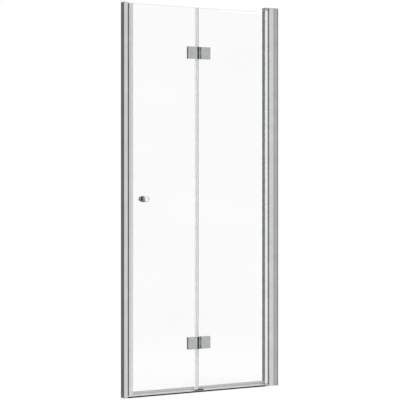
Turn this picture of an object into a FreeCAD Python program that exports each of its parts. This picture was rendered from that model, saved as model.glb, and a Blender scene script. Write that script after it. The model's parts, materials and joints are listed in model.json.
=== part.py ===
import FreeCAD, Part
import math
import os

# Bifold shower door for a recess, 900 wide, all sizes in millimetres.
# X runs along the width, -Y faces the bathroom, +Y faces into the shower, Z is up.
# The glass lies on y = 0 and the floor of the tray is z = 0.

# overall
door_width = 900.0
door_height = 1952.0
strike_drop = 20.0
cap_thickness = 2.0

# glass
glass_thickness = 6.0
glass_bottom = 19.0
glass_drop = 3.0
glass_arris = 0.5

# clearances
slide_clearance = 0.25
running_gap = 0.5
shaft_clearance = 0.05
press_clearance = 0.02
seat_clearance = 0.3
threshold_seal_gap = 0.4

# strike side, fixed to the left wall
strike_flange = 20.5
strike_depth = 35.0
strike_wall = 1.6
strike_reach = 29.0
strike_nose_depth = 18.0
strike_nose_length = 8.0
strike_lip_length = 5.0
strike_lip_half = 5.5
strike_lip = 2.0
strike_barb = 0.8
strike_groove_start = 1.8
strike_groove_width = 1.4
strike_foot = 4.0
magnet_strip_width = 8.6
magnet_strip_proud = 2.4
closing_gap = 0.6

# pivot side, fixed to the right wall
pivot_flange = 28.0
pivot_depth = 36.0
pivot_wall = 1.5
pivot_web = 1.8
pivot_bevel_width = 9.0
pivot_bevel_depth = 2.6
pivot_profile_wall = 1.8
pivot_profile_end = 9.5
pivot_inset = 67.0
pivot_nose = 10.5
gap_seal_width = 4.2

# wall fixing and clamping screws
wall_hole_radius = 2.6
wall_hole_pitch = 560.0
side_screw_radius = 1.9
side_screw_head_radius = 3.5
side_screw_head_height = 1.8
side_screw_key = 2.0
side_screw_pitch = 720.0
strike_screw_inset = 12.0
pivot_screw_inset = 9.5

# clamp profile that turns with the wall leaf
clamp_depth = 27.0
clamp_reach = 14.0
clamp_back_radius = 13.7
clamp_corner_radius = 3.0
clamp_front_radius = 0.9
clamp_slot_depth = 8.5
clamp_gasket_wall = 1.3
pressure_strip_thickness = 1.6
set_screw_radius = 2.0
set_screw_key = 2.0
set_screw_count = 5
set_screw_inset = 4.4

# pivot bearings
bearing_height = 12.0
pivot_pin_radius = 3.0
pivot_pin_length = 22.0
bushing_radius = 3.8
bushing_length = 14.0
bushing_flange_radius = 6.0
bushing_flange = 1.2
bearing_screw_radius = 1.8
bearing_screw_key = 2.0
bearing_screw_offset = 9.0

# threshold
threshold_front = 19.0
threshold_back = 17.0
threshold_edge = 7.0
threshold_crown = 10.0
threshold_crown_half = 8.0
water_bar_half = 2.6
water_bar_height = 2.4
tape_groove_half = 6.0
tape_thickness = 1.0
joint_pad_length = 50.0
joint_pad_front = 15.0

# fold joint between the leaves
fold_inset = 24.5
knob_leaf_setback = 10.0
wall_leaf_setback = 4.0
hinge_height = 61.0
hinge_plate_width = 54.0
hinge_plate_gap = 22.0
hinge_stand = 13.0
hinge_gasket = 1.0
hinge_back_thickness = 4.5
hinge_back_width = 40.0
hinge_back_height = 51.0
hinge_leg = 2.5
hinge_leg_half = 2.5
hinge_end_distance = 228.0
hinge_edge_radius = 1.2
fold_face_gap = 1.0
barrel_radius = 5.5
barrel_middle = 24.0
barrel_end_gap = 0.4
hinge_pin_radius = 2.5
hinge_screw_radius = 2.5
hinge_screw_head_radius = 5.0
hinge_screw_key = 3.0
hinge_screw_pitch = 32.0
hinge_screw_reach = 8.0
glass_hole_radius = 7.0
collar_radius = 6.7
collar_length = glass_thickness + hinge_gasket - 0.1

# seals
seal_wall = 1.2
edge_tube_depth = 9.5
edge_tube_half = 5.2
edge_clip_length = 15.0
centre_clip_length = 9.5
centre_bulb = 3.0
drip_clip_height = 8.5
drip_fin_reach = 8.5

# knob
knob_from_edge = 77.0
knob_height = 970.0
knob_radius = 15.5
knob_length = 29.5
knob_washer = 1.0
knob_stud_radius = 3.0
knob_rim = 2.6
knob_bore = 14.0
knob_recess = 0.8
knob_recess_radius = 11.6

half_glass = glass_thickness / 2
strike_height = door_height - strike_drop
glass_top = strike_height - glass_drop
strike_profile_top = glass_top - 1.0
left_wall_x = -door_width / 2
right_wall_x = door_width / 2

# leaf edges and axes that follow from the sizes above
strike_nose_x = left_wall_x + strike_reach
edge_seal_x = strike_nose_x + magnet_strip_proud + closing_gap
knob_glass_left = edge_seal_x + edge_tube_depth + seat_clearance
fold_x = -fold_inset
fold_y = -(half_glass + hinge_stand + fold_face_gap / 2)
knob_glass_right = fold_x - knob_leaf_setback
wall_glass_left = fold_x + wall_leaf_setback
pivot_x = right_wall_x - pivot_inset
clamp_left = pivot_x - clamp_reach
half_clamp = clamp_depth / 2
wall_glass_right = clamp_left + clamp_slot_depth - clamp_gasket_wall
front_recess_radius = clamp_back_radius + running_gap
clamp_corner_x = clamp_reach - clamp_corner_radius
clamp_corner_y = half_clamp - clamp_corner_radius
rear_recess_radius = math.hypot(clamp_corner_x, clamp_corner_y) + clamp_corner_radius + running_gap
pivot_profile_half = pivot_depth / 2 - pivot_wall - slide_clearance
chamber_x = pivot_x + rear_recess_radius + 2.0
threshold_top = threshold_crown + water_bar_height
seal_bottom = threshold_top + threshold_seal_gap
clamp_bottom = bearing_height + threshold_seal_gap + bushing_flange
clamp_top = door_height - clamp_bottom
hinge_centres = [glass_bottom + hinge_end_distance, glass_top - hinge_end_distance]


def box(x0, x1, y0, y1, z0, z1):
    return Part.makeBox(x1 - x0, y1 - y0, z1 - z0, FreeCAD.Vector(x0, y0, z0))


def rod(base, direction, radius, length):
    return Part.makeCylinder(radius, length, FreeCAD.Vector(*base), FreeCAD.Vector(*direction))


def hex_socket(start, direction, across, depth):
    """Room for a hexagon key, drawn from its floor out along the screw's axis."""
    along = FreeCAD.Vector(*direction)
    upwards = FreeCAD.Vector(0, 0, across / math.sqrt(3))
    turns = [FreeCAD.Rotation(along, 60 * step) for step in range(7)]
    rim = [FreeCAD.Vector(*start) + turn.multVec(upwards) for turn in turns]
    return Part.Face(Part.makePolygon(rim)).extrude(along * depth)


def corner_arc(before, corner, after, radius):
    """Start, middle and end of the arc that eases one corner of an outline."""
    back = (before - corner).normalize()
    onward = (after - corner).normalize()
    half_angle = back.getAngle(onward) / 2
    inwards = (back + onward).normalize()
    middle = corner + inwards * (radius / math.sin(half_angle) - radius)
    run = radius / math.tan(half_angle)
    return [corner + back * run, middle, corner + onward * run]


def face_of(corners, place):
    """Face inside straight sides. A third number on a corner is the radius that eases it."""
    spots = [place(corner[0], corner[1]) for corner in corners]
    turns = []
    for n, corner in enumerate(corners):
        if len(corner) == 2:
            turns.append([spots[n]])
        else:
            turns.append(corner_arc(spots[n - 1], spots[n], spots[(n + 1) % len(spots)], corner[2]))
    edges = [Part.Arc(*turn).toShape() for turn in turns if len(turn) == 3]
    edges += [Part.makeLine(turns[n - 1][-1], turns[n][0]) for n in range(len(turns))]
    return Part.Face(Part.Wire(Part.__sortEdges__(edges)))


def upright(corners, z0, z1):
    """Section in the plan view, drawn up from z0 to z1."""
    section = face_of(corners, lambda x, y: FreeCAD.Vector(x, y, z0))
    return section.extrude(FreeCAD.Vector(0, 0, z1 - z0))


def lying(corners, x0, x1):
    """Section seen from the side as (y, z), drawn along the width from x0 to x1."""
    section = face_of(corners, lambda y, z: FreeCAD.Vector(x0, y, z))
    return section.extrude(FreeCAD.Vector(x1 - x0, 0, 0))


def both_sides(corners):
    """Adds the mirror image in y of an outline, so that it closes."""
    return corners + [(x, -y, *radius) for x, y, *radius in reversed(corners)]


def fused(shapes):
    return shapes[0].multiFuse(shapes[1:]).removeSplitter()


def pivot_point(radius, degrees):
    turn = math.radians(degrees)
    return FreeCAD.Vector(pivot_x + radius * math.cos(turn), radius * math.sin(turn), 0)


def joined(edges, z0, z1):
    """Closed outline of lines and arcs in the plan view, drawn up from z0 to z1."""
    wire = Part.Wire(Part.__sortEdges__(edges))
    wire.translate(FreeCAD.Vector(0, 0, z0))
    return Part.Face(wire).extrude(FreeCAD.Vector(0, 0, z1 - z0))


def arc(radius, start, end):
    middle = pivot_point(radius, (start + end) / 2)
    return Part.Arc(pivot_point(radius, start), middle, pivot_point(radius, end)).toShape()


def line(start, end):
    return Part.makeLine(start, end)


def at(x, y):
    return FreeCAD.Vector(x, y, 0)


def chain(points):
    return [line(a, b) for a, b in zip(points[:-1], points[1:])]


def wall_hole_levels(height):
    return [height / 2 + wall_hole_pitch * step for step in (-1.5, -0.5, 0.5, 1.5)]


def side_screw_levels(height):
    return [height / 2 + side_screw_pitch * step for step in (-1, 0, 1)]


# ---- strike side ----


def strike_wall_channel():
    top = strike_height - cap_thickness
    half = strike_depth / 2
    tip = left_wall_x + strike_flange
    web = left_wall_x + strike_wall
    lip = slide_clearance / 2
    section = both_sides(
        [
            (left_wall_x, -half, 0.4),
            (tip, -half, 0.9),
            (tip, -half + strike_wall + lip),
            (tip - 1.5, -half + strike_wall),
            (web, -half + strike_wall),
            (web, -6.0),
            (web + 1.0, -6.0),
            (web + 1.0, -5.0),
            (web, -5.0),
        ]
    )
    body = upright(section, strike_foot, top)
    holes = [
        rod((left_wall_x - 1, 0, z), (1, 0, 0), wall_hole_radius, strike_wall + 2)
        for z in wall_hole_levels(strike_height)
    ]
    holes += [
        rod((strike_screw_x(), half - strike_wall - 1, z), (0, 1, 0), side_screw_radius + shaft_clearance, 4)
        for z in side_screw_levels(strike_height)
    ]
    return body.cut(Part.makeCompound(holes))


def strike_screw_x():
    return left_wall_x + strike_screw_inset


def strike_profile_half():
    return strike_depth / 2 - strike_wall - slide_clearance


def strike_inner_profile():
    """Box section with two lips at its front that hold the magnetic nose."""
    half = strike_profile_half()
    shoulder = strike_shoulder_x()
    groove = shoulder + strike_groove_start
    groove_floor = strike_barb - strike_lip_half
    outline = [
        (left_wall_x + 4.0, -half, 0.5),
        (shoulder, -half, 0.6),
        (shoulder, -strike_lip_half),
        (groove, -strike_lip_half),
        (groove, groove_floor),
        (groove + strike_groove_width, groove_floor),
        (groove + strike_groove_width, -strike_lip_half),
        (shoulder + strike_lip_length, -strike_lip_half, 0.5),
        (shoulder + strike_lip_length, strike_lip - strike_lip_half, 0.5),
        (shoulder, strike_lip - strike_lip_half),
    ]
    body = upright(both_sides(outline), seal_bottom, strike_profile_top)
    chamber = box(left_wall_x + 5.5, shoulder - 1.5, 1.5 - half, half - 1.5, 0, strike_height)
    holes = [
        rod((strike_screw_x(), half - 3, z), (0, 1, 0), side_screw_radius + press_clearance, 4)
        for z in side_screw_levels(strike_height)
    ]
    return body.cut(Part.makeCompound([chamber] + holes))


def strike_shoulder_x():
    return strike_nose_x - strike_nose_length


def strike_magnet_strip():
    """Soft nose pushed over the lips: core between them, barbs in their grooves, magnet in front."""
    shoulder = strike_shoulder_x()
    play = press_clearance
    outer_lip = -strike_lip_half - play
    barb_tip = strike_barb - strike_lip_half - play
    barb = shoulder + strike_groove_start + play
    barb_end = barb + strike_groove_width - 2 * play
    outline = [
        (shoulder + seat_clearance, strike_lip - strike_lip_half + play),
        (shoulder + strike_lip_length + play, strike_lip - strike_lip_half + play),
        (shoulder + strike_lip_length + play, outer_lip),
        (barb_end, outer_lip),
        (barb_end, barb_tip),
        (barb, barb_tip),
        (barb, outer_lip),
        (shoulder + play, outer_lip),
        (shoulder + play, -strike_nose_depth / 2, 0.5),
        (strike_nose_x, -strike_nose_depth / 2, 1.5),
        (strike_nose_x, -magnet_strip_width / 2),
        (strike_nose_x + magnet_strip_proud, -magnet_strip_width / 2, 0.8),
    ]
    return upright(both_sides(outline), seal_bottom, strike_profile_top)


def side_screws(x, outer_half, depth, height):
    """Screws with low domed heads through the shower-side flange, each with a hexagon socket."""
    screws = []
    for z in side_screw_levels(height):
        shank = rod((x, outer_half - depth, z), (0, 1, 0), side_screw_radius, depth)
        head = Part.makeCone(
            side_screw_head_radius,
            side_screw_head_radius * 0.7,
            side_screw_head_height,
            FreeCAD.Vector(x, outer_half, z),
            FreeCAD.Vector(0, 1, 0),
        )
        socket = hex_socket((x, outer_half + 0.6, z), (0, 1, 0), side_screw_key, 2)
        screws.append(shank.fuse(head).cut(socket).removeSplitter())
    return Part.makeCompound(screws)


def strike_side_screws():
    return side_screws(strike_screw_x(), strike_depth / 2, 4.5, strike_height)


def strike_top_cap():
    half = strike_depth / 2
    z0 = strike_height - cap_thickness
    plate = box(left_wall_x, left_wall_x + strike_flange, -half, half, z0, strike_height)
    plate = plate.makeFillet(0.8, [e for e in plate.Edges if e.CenterOfMass.z > strike_height - 0.1])
    tongue_half = strike_profile_half() - 1.5 - seat_clearance
    tongue = box(left_wall_x + 7.0, left_wall_x + 16.0, -tongue_half, tongue_half, z0 - 14.0, z0)
    return fused([plate, tongue])


def strike_foot_plug():
    """Rounded foot that stands the channel off the tray, its tongue up inside the channel."""
    half = strike_depth / 2
    tip = left_wall_x + strike_flange
    plate = box(left_wall_x, tip, -half, half, 0, strike_foot)
    corners = [e for e in plate.Edges if e.CenterOfMass.x > tip - 0.1 and abs(e.CenterOfMass.z - strike_foot / 2) < 0.1]
    plate = plate.makeFillet(3.0, corners)
    inner = half - strike_wall - seat_clearance
    tongue = box(left_wall_x + strike_wall + 1.3, tip - 3.0, -inner, inner, strike_foot, seal_bottom - 1.0)
    return fused([plate, tongue])


# ---- pivot side ----


def pivot_channel_outline(wall, start, end):
    """Open side of the channel at start, bevelled towards end, everything in by one wall."""
    half = pivot_depth / 2 - wall
    knee = right_wall_x - pivot_bevel_width
    return both_sides([(start, -half), (knee, -half, 3.0), (end, -half + pivot_bevel_depth)])


def pivot_wall_channel():
    top = door_height - cap_thickness
    half = pivot_depth / 2
    tip = right_wall_x - pivot_flange
    web = right_wall_x - pivot_web
    outer = upright(pivot_channel_outline(0, tip, right_wall_x), 0, top)
    body = outer.cut(upright(pivot_channel_outline(pivot_wall, tip - 1, web), -1, top + 1))
    holes = [
        rod((web - 1, 0, z), (1, 0, 0), wall_hole_radius, pivot_web + 2)
        for z in wall_hole_levels(door_height)
    ]
    holes += [
        rod((pivot_screw_x(), half - pivot_wall - 1, z), (0, 1, 0), side_screw_radius + shaft_clearance, 4)
        for z in side_screw_levels(door_height)
    ]
    return body.cut(Part.makeCompound(holes))


def pivot_screw_x():
    return right_wall_x - pivot_flange + pivot_screw_inset


def pivot_inner_outline(z0, z1):
    """Cradle round the pivot at its left, flat sides, square end inside the wall channel."""
    half = pivot_profile_half
    end = right_wall_x - pivot_profile_end
    lip = half - pivot_profile_wall
    nose_angle = math.degrees(math.acos(pivot_nose / front_recess_radius))
    rear_angle = math.degrees(math.asin(lip / rear_recess_radius))
    pocket_y = gap_seal_width + 0.3
    pocket_angle = math.degrees(math.asin(pocket_y / rear_recess_radius))
    pocket_x = pivot_x + rear_recess_radius
    front_lip = pivot_point(front_recess_radius, -nose_angle)
    rear_lip = pivot_point(rear_recess_radius, rear_angle)
    pocket = pivot_point(rear_recess_radius, pocket_angle)
    edges = [arc(front_recess_radius, -nose_angle, 0), arc(rear_recess_radius, pocket_angle, rear_angle)]
    edges += chain([pivot_point(front_recess_radius, 0), at(pocket_x, 0), at(pocket_x, pocket.y), pocket])
    edges += chain(
        [
            rear_lip,
            at(rear_lip.x, half),
            at(end, half),
            at(end, -half),
            at(pivot_x + pivot_nose, -half),
            front_lip,
        ]
    )
    return joined(edges, z0, z1)


def pivot_inner_profile():
    z1 = door_height - cap_thickness
    half = pivot_profile_half - pivot_profile_wall
    end = right_wall_x - pivot_profile_end - pivot_profile_wall
    chamber = box(chamber_x, end, -half, half, -1, z1 + 1)
    holes = [
        rod((pivot_screw_x(), half - 1, z), (0, 1, 0), side_screw_radius + press_clearance, 4)
        for z in side_screw_levels(door_height)
    ]
    holes += [
        rod((pivot_x, y, z), (1, 0, 0), bearing_screw_radius + press_clearance, chamber_x - pivot_x + 1)
        for y, z in bearing_screw_places()
    ]
    return pivot_inner_outline(0, z1).cut(Part.makeCompound([chamber] + holes))


def pivot_side_screws():
    return side_screws(pivot_screw_x(), pivot_depth / 2, 4.0, door_height)


def pivot_top_cap():
    z0 = door_height - cap_thickness
    half = pivot_profile_half - pivot_profile_wall - seat_clearance
    end = right_wall_x - pivot_profile_end - pivot_profile_wall - seat_clearance
    plate = upright(pivot_channel_outline(0, right_wall_x - pivot_flange, right_wall_x), z0, door_height)
    cradle = pivot_inner_outline(z0, door_height)
    tongue = box(chamber_x + seat_clearance, end, -half, half, z0 - 12.0, z0)
    return fused([plate, cradle, tongue])


def pivot_gap_seal():
    """Soft strip in the pocket of the cradle, its lip just short of the clamp profile's round back."""
    back = pivot_x + rear_recess_radius
    tip = pivot_x + clamp_back_radius + 0.4
    outline = [
        (back, 0.15),
        (back, gap_seal_width),
        (tip + 1.6, gap_seal_width),
        (tip, 1.8),
        (tip, 0.15),
    ]
    return upright(outline, clamp_bottom, clamp_top)


def block_outline(z0, z1):
    """Plan of a bearing block: the clamp profile's front, then out to the cradle."""
    front = front_recess_radius - seat_clearance
    rear = rear_recess_radius - seat_clearance
    front_turn = math.degrees(math.asin(half_clamp / front))
    rear_turn = math.degrees(math.asin(half_clamp / rear))
    edges = [arc(front, -front_turn, 0), arc(rear, 0, rear_turn)]
    edges += [line(pivot_point(front, 0), pivot_point(rear, 0))]
    edges += chain(
        [
            pivot_point(rear, rear_turn),
            at(clamp_left, half_clamp),
            at(clamp_left, -half_clamp),
            pivot_point(front, -front_turn),
        ]
    )
    return joined(edges, z0, z1)


def bearing_screw_places():
    levels = [bearing_height / 2, door_height - bearing_height / 2]
    return [(y, z) for z in levels for y in (-bearing_screw_offset, bearing_screw_offset)]


def bearing_cuts():
    """Room for the pins and the countersunk screws of both blocks."""
    depth = bearing_height - 3.0
    cuts = [
        rod((pivot_x, 0, bearing_height), (0, 0, -1), pivot_pin_radius + press_clearance, depth),
        rod((pivot_x, 0, door_height - bearing_height), (0, 0, 1), pivot_pin_radius + press_clearance, depth),
    ]
    for y, z in bearing_screw_places():
        shank = bearing_screw_radius + press_clearance
        cuts.append(rod((clamp_left - 1, y, z), (1, 0, 0), shank, 60))
        cuts.append(rod((clamp_left - 1, y, z), (1, 0, 0), 2 * shank, 3.5))
    return Part.makeCompound(cuts)


def threshold_outline():
    """Low strip with eased edges: upright front, long slopes, crown under the glass."""
    return [
        (-threshold_front, 0, 0.6),
        (-threshold_front, threshold_edge, 1.6),
        (-threshold_crown_half, threshold_crown, 9.0),
        (threshold_crown_half, threshold_crown, 9.0),
        (threshold_back, threshold_edge - 1.0, 2.0),
        (threshold_back, 0, 0.6),
    ]


def bottom_bearing_block():
    apron = lying(threshold_outline(), clamp_left, pivot_x + pivot_nose - seat_clearance)
    return fused([block_outline(0, bearing_height), apron]).cut(bearing_cuts())


def top_bearing_block():
    body = block_outline(door_height - bearing_height, door_height)
    return body.cut(bearing_cuts())


def bearing_block_screws():
    screws = []
    for y, z in bearing_screw_places():
        shank = rod((clamp_left + 1.0, y, z), (1, 0, 0), bearing_screw_radius, chamber_x - clamp_left - 1.5)
        head = rod((clamp_left + 0.6, y, z), (1, 0, 0), 2 * bearing_screw_radius, 1.8)
        socket = hex_socket((clamp_left + 0.5, y, z), (1, 0, 0), bearing_screw_key, 1.3)
        screws.append(shank.fuse(head).cut(socket).removeSplitter())
    return Part.makeCompound(screws)


def pivot_pin(start, direction):
    pin = rod((pivot_x, 0, start), (0, 0, direction), pivot_pin_radius, pivot_pin_length)
    return pin.makeChamfer(0.6, [e for e in pin.Edges if e.Curve.TypeId == "Part::GeomCircle"])


def bottom_pivot_pin():
    return pivot_pin(3.0, 1)


def top_pivot_pin():
    return pivot_pin(door_height - 3.0, -1)


# ---- threshold ----


def threshold_bar():
    x0 = left_wall_x + strike_flange + seat_clearance
    x1 = clamp_left - seat_clearance
    body = lying(threshold_outline(), x0, x1)
    top = threshold_top
    water_bar = lying(
        [
            (-water_bar_half, threshold_crown - 1),
            (-water_bar_half, top, 1.2),
            (water_bar_half, top, 1.2),
            (water_bar_half, threshold_crown - 1),
        ],
        x0,
        x1,
    )
    groove = box(x0 - 1, x1 + 1, -tape_groove_half, tape_groove_half, -1, tape_thickness)
    hollow = lying(
        [
            (-14.0, -1),
            (-14.0, 4.5),
            (-tape_groove_half - 2.0, 6.5),
            (-tape_groove_half - 2.0, -1),
        ],
        x0 - 1,
        x1 + 1,
    )
    rear_hollow = lying(
        [
            (tape_groove_half + 2.0, -1),
            (tape_groove_half + 2.0, 6.0),
            (13.0, 4.0),
            (13.0, -1),
        ],
        x0 - 1,
        x1 + 1,
    )
    return fused([body, water_bar]).cut(Part.makeCompound([groove, hollow, rear_hollow]))


def threshold_tape():
    x0 = left_wall_x + strike_flange + 10.0
    x1 = clamp_left - 10.0
    half = tape_groove_half - 0.5
    return box(x0, x1, -half, half, 0, tape_thickness)


def joint_rubber_pad():
    """Flat pad on the crown and the front slope, under the fold joint."""
    slope = (threshold_crown - threshold_edge) / (threshold_front - threshold_crown_half)
    front_z = threshold_edge + slope * (threshold_front - joint_pad_front)
    inner = -water_bar_half - 0.2
    outline = [
        (-joint_pad_front, front_z),
        (-threshold_crown_half, threshold_crown),
        (inner, threshold_crown),
        (inner, threshold_top, 0.3),
        (-joint_pad_front, threshold_top, 1.5),
    ]
    half = joint_pad_length / 2
    return lying(outline, fold_x - half, fold_x + half)


# ---- glass leaves ----


def glass_pane(x0, x1, holes):
    pane = box(x0, x1, -half_glass, half_glass, glass_bottom, glass_top)
    pane = pane.makeChamfer(glass_arris, [e for e in pane.Edges if abs(e.CenterOfMass.y) > half_glass - 0.1])
    drills = [rod((x, -half_glass - 1, z), (0, 1, 0), r, glass_thickness + 2) for x, z, r in holes]
    return pane.cut(Part.makeCompound(drills))


def hinge_screw_x(side):
    return fold_x + side * (hinge_plate_gap + hinge_plate_width) / 2


def hinge_screw_levels(centre):
    return [centre - hinge_screw_pitch / 2, centre + hinge_screw_pitch / 2]


def hinge_holes(side):
    levels = [z for centre in hinge_centres for z in hinge_screw_levels(centre)]
    return [(hinge_screw_x(side), z, glass_hole_radius) for z in levels]


def knob_x():
    return knob_glass_left + knob_from_edge


def knob_leaf_glass():
    return glass_pane(knob_glass_left, knob_glass_right, hinge_holes(-1) + [(knob_x(), knob_height, 6.0)])


def wall_leaf_glass():
    return glass_pane(wall_glass_left, wall_glass_right, hinge_holes(1))


def clamp_outline(z0, z1):
    """Square front with the glass slot, round back turned about the pivot."""
    turn = math.degrees(math.asin(half_clamp / clamp_back_radius))
    middle = at(clamp_left, 0)
    rear = corner_arc(at(pivot_x, half_clamp), at(clamp_left, half_clamp), middle, clamp_corner_radius)
    front = corner_arc(middle, at(clamp_left, -half_clamp), at(pivot_x, -half_clamp), clamp_front_radius)
    edges = [
        arc(clamp_back_radius, -turn, turn),
        line(pivot_point(clamp_back_radius, turn), rear[0]),
        Part.Arc(*rear).toShape(),
        line(rear[2], front[0]),
        Part.Arc(*front).toShape(),
        line(front[2], pivot_point(clamp_back_radius, -turn)),
    ]
    return joined(edges, z0, z1)


def slot_half():
    return half_glass + clamp_gasket_wall


def set_screw_x():
    return clamp_left + set_screw_inset


def set_screw_levels():
    span = glass_top - glass_bottom - 160.0
    return [glass_bottom + 80.0 + span * n / (set_screw_count - 1) for n in range(set_screw_count)]


def clamp_profile():
    body = clamp_outline(clamp_bottom, clamp_top)
    slot = box(
        clamp_left - 1,
        clamp_left + clamp_slot_depth,
        -slot_half(),
        slot_half() + pressure_strip_thickness,
        clamp_bottom - 1,
        clamp_top + 1,
    )
    port = rod((pivot_x, 0, clamp_bottom - 1), (0, 0, 1), bushing_radius + press_clearance, door_height)
    cuts = [slot, port]
    for low, high in ((-11.6, -6.2), (7.4, 11.6)):
        cuts.append(box(pivot_x - 3.0, pivot_x + 4.5, low, high, clamp_bottom - 1, clamp_top + 1))
    for z in set_screw_levels():
        cuts.append(rod((set_screw_x(), 0, z), (0, 1, 0), set_screw_radius + press_clearance, half_clamp + 1))
    return body.cut(Part.makeCompound(cuts))


def clamp_gasket():
    """Soft channel round the edge of the glass, its lips showing beside the profile."""
    outer = slot_half()
    end = clamp_left + clamp_slot_depth
    outline = [
        (clamp_left - 1.1, -half_glass),
        (clamp_left - 1.1, -half_glass - 0.7, 0.3),
        (clamp_left, -outer),
        (end, -outer),
        (end, outer),
        (clamp_left, outer),
        (clamp_left - 1.1, half_glass + 0.7, 0.3),
        (clamp_left - 1.1, half_glass),
        (wall_glass_right, half_glass),
        (wall_glass_right, -half_glass),
    ]
    return upright(outline, glass_bottom, glass_top)


def clamp_pressure_strip():
    y0 = slot_half()
    x0 = clamp_left + 0.6
    x1 = clamp_left + clamp_slot_depth - 0.8
    return box(x0, x1, y0, y0 + pressure_strip_thickness, glass_bottom + 6.0, glass_top - 6.0)


def clamp_set_screws():
    start = slot_half() + pressure_strip_thickness
    screws = []
    for z in set_screw_levels():
        body = rod((set_screw_x(), start, z), (0, 1, 0), set_screw_radius, half_clamp - start - 0.7)
        socket = hex_socket((set_screw_x(), half_clamp - 2.7, z), (0, 1, 0), set_screw_key, 3)
        screws.append(body.cut(socket))
    return Part.makeCompound(screws)


def pivot_bushings():
    """Flanged plain bearings at both ends of the clamp profile."""
    bushings = []
    for z, up in ((clamp_bottom, 1), (clamp_top, -1)):
        sleeve = rod((pivot_x, 0, z), (0, 0, up), bushing_radius, bushing_length)
        flange = rod((pivot_x, 0, z), (0, 0, -up), bushing_flange_radius, bushing_flange)
        bore = rod((pivot_x, 0, z - 30), (0, 0, 1), pivot_pin_radius + shaft_clearance, 60)
        bushings.append(sleeve.fuse(flange).cut(bore).removeSplitter())
    return Part.makeCompound(bushings)


# ---- seals on the glass ----


def drip_seal(x0, x1):
    """Clip on the bottom edge, wiper above the threshold and a fin that throws water inwards."""
    outer = half_glass + seal_wall
    web = glass_bottom - seal_wall
    top = glass_bottom + drip_clip_height
    outline = [
        (-half_glass, glass_bottom),
        (-half_glass, top),
        (-outer, top, 0.7),
        (-outer, web, 0.7),
        (-seal_wall / 2, web),
        (-seal_wall / 2, seal_bottom),
        (seal_wall / 2, seal_bottom),
        (seal_wall / 2, web),
        (outer - 1.4, web),
        (drip_fin_reach - 0.9, seal_bottom + 0.3),
        (drip_fin_reach, seal_bottom + 0.9, 0.3),
        (outer, web + 1.0, 1.0),
        (outer, top, 0.7),
        (half_glass, top),
        (half_glass, glass_bottom),
    ]
    return lying(outline, x0, x1)


def knob_leaf_drip_seal():
    x0 = knob_glass_left + edge_clip_length + seat_clearance
    return drip_seal(x0, knob_glass_right - centre_clip_length - seat_clearance)


def wall_leaf_drip_seal():
    return drip_seal(wall_glass_left, clamp_left - 1.1 - seat_clearance)


def edge_seal():
    """Clip on the free edge with a square tube for the magnet."""
    outer = half_glass + seal_wall
    tube = edge_tube_half
    tube_end = edge_seal_x + edge_tube_depth
    clip_end = knob_glass_left + edge_clip_length
    outline = both_sides(
        [
            (edge_seal_x, -tube, 0.9),
            (tube_end - 1.0, -tube, 1.0),
            (tube_end + 0.6, -outer, 1.0),
            (clip_end, -outer, 0.8),
            (clip_end, -half_glass),
            (tube_end, -half_glass),
        ]
    )
    body = upright(outline, seal_bottom, glass_top)
    return body.cut(edge_magnet_space(seal_bottom - 1, glass_top + 1))


def edge_magnet_space(z0, z1):
    half = edge_tube_half - 1.0
    return box(edge_seal_x + 1.0, edge_seal_x + edge_tube_depth - 1.2, -half, half, z0, z1)


def edge_seal_magnet():
    return edge_magnet_space(seal_bottom + 1.0, glass_top - 1.0)


def centre_seal(z0, z1):
    """Clip on the folding edge with a soft fin that closes the joint."""
    outer = half_glass + seal_wall
    edge = knob_glass_right
    fin_end = wall_glass_left - 0.5
    clip = both_sides(
        [
            (edge - centre_clip_length, -half_glass),
            (edge - centre_clip_length, -outer, 0.8),
            (edge + centre_bulb, -outer, 1.6),
            (edge + centre_bulb, -0.7, 0.4),
            (fin_end, -0.7, 0.5),
        ]
    )
    slot = box(edge - centre_clip_length - 1, edge, -half_glass, half_glass, z0 - 1, z1 + 1)
    hollow = box(edge + 1.0, edge + centre_bulb - 1.0, -half_glass + 0.4, half_glass - 0.4, z0 - 1, z1 + 1)
    return upright(clip, z0, z1).cut(Part.makeCompound([slot, hollow]))


def centre_seal_spans():
    reach = hinge_height / 2 + 1.0
    low, high = hinge_centres
    return {
        "centre_seal_lower": (seal_bottom, low - reach),
        "centre_seal_middle": (low + reach, high - reach),
        "centre_seal_upper": (high + reach, glass_top),
    }


# ---- fold hinges ----


def rounded_plate(span, y0, y1, centre, height):
    """Upright plate across the span, its outline corners eased."""
    plate = box(*span, y0, y1, centre - height / 2, centre + height / 2)
    along_y = [e for e in plate.Edges if abs(e.Vertexes[0].Point.y - e.Vertexes[1].Point.y) > 0.1]
    return plate.makeFillet(hinge_edge_radius, along_y)


def plate_span(side):
    near = fold_x + side * hinge_plate_gap / 2
    far = near + side * hinge_plate_width
    return min(near, far), max(near, far)


def back_span(side):
    return hinge_screw_x(side) - hinge_back_width / 2, hinge_screw_x(side) + hinge_back_width / 2


def knuckle_zones(side, centre):
    half = hinge_height / 2
    middle = barrel_middle / 2
    if side < 0:
        return [(centre - middle, centre + middle)]
    gap = middle + barrel_end_gap
    return [(centre - half, centre - gap), (centre + gap, centre + half)]


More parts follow.
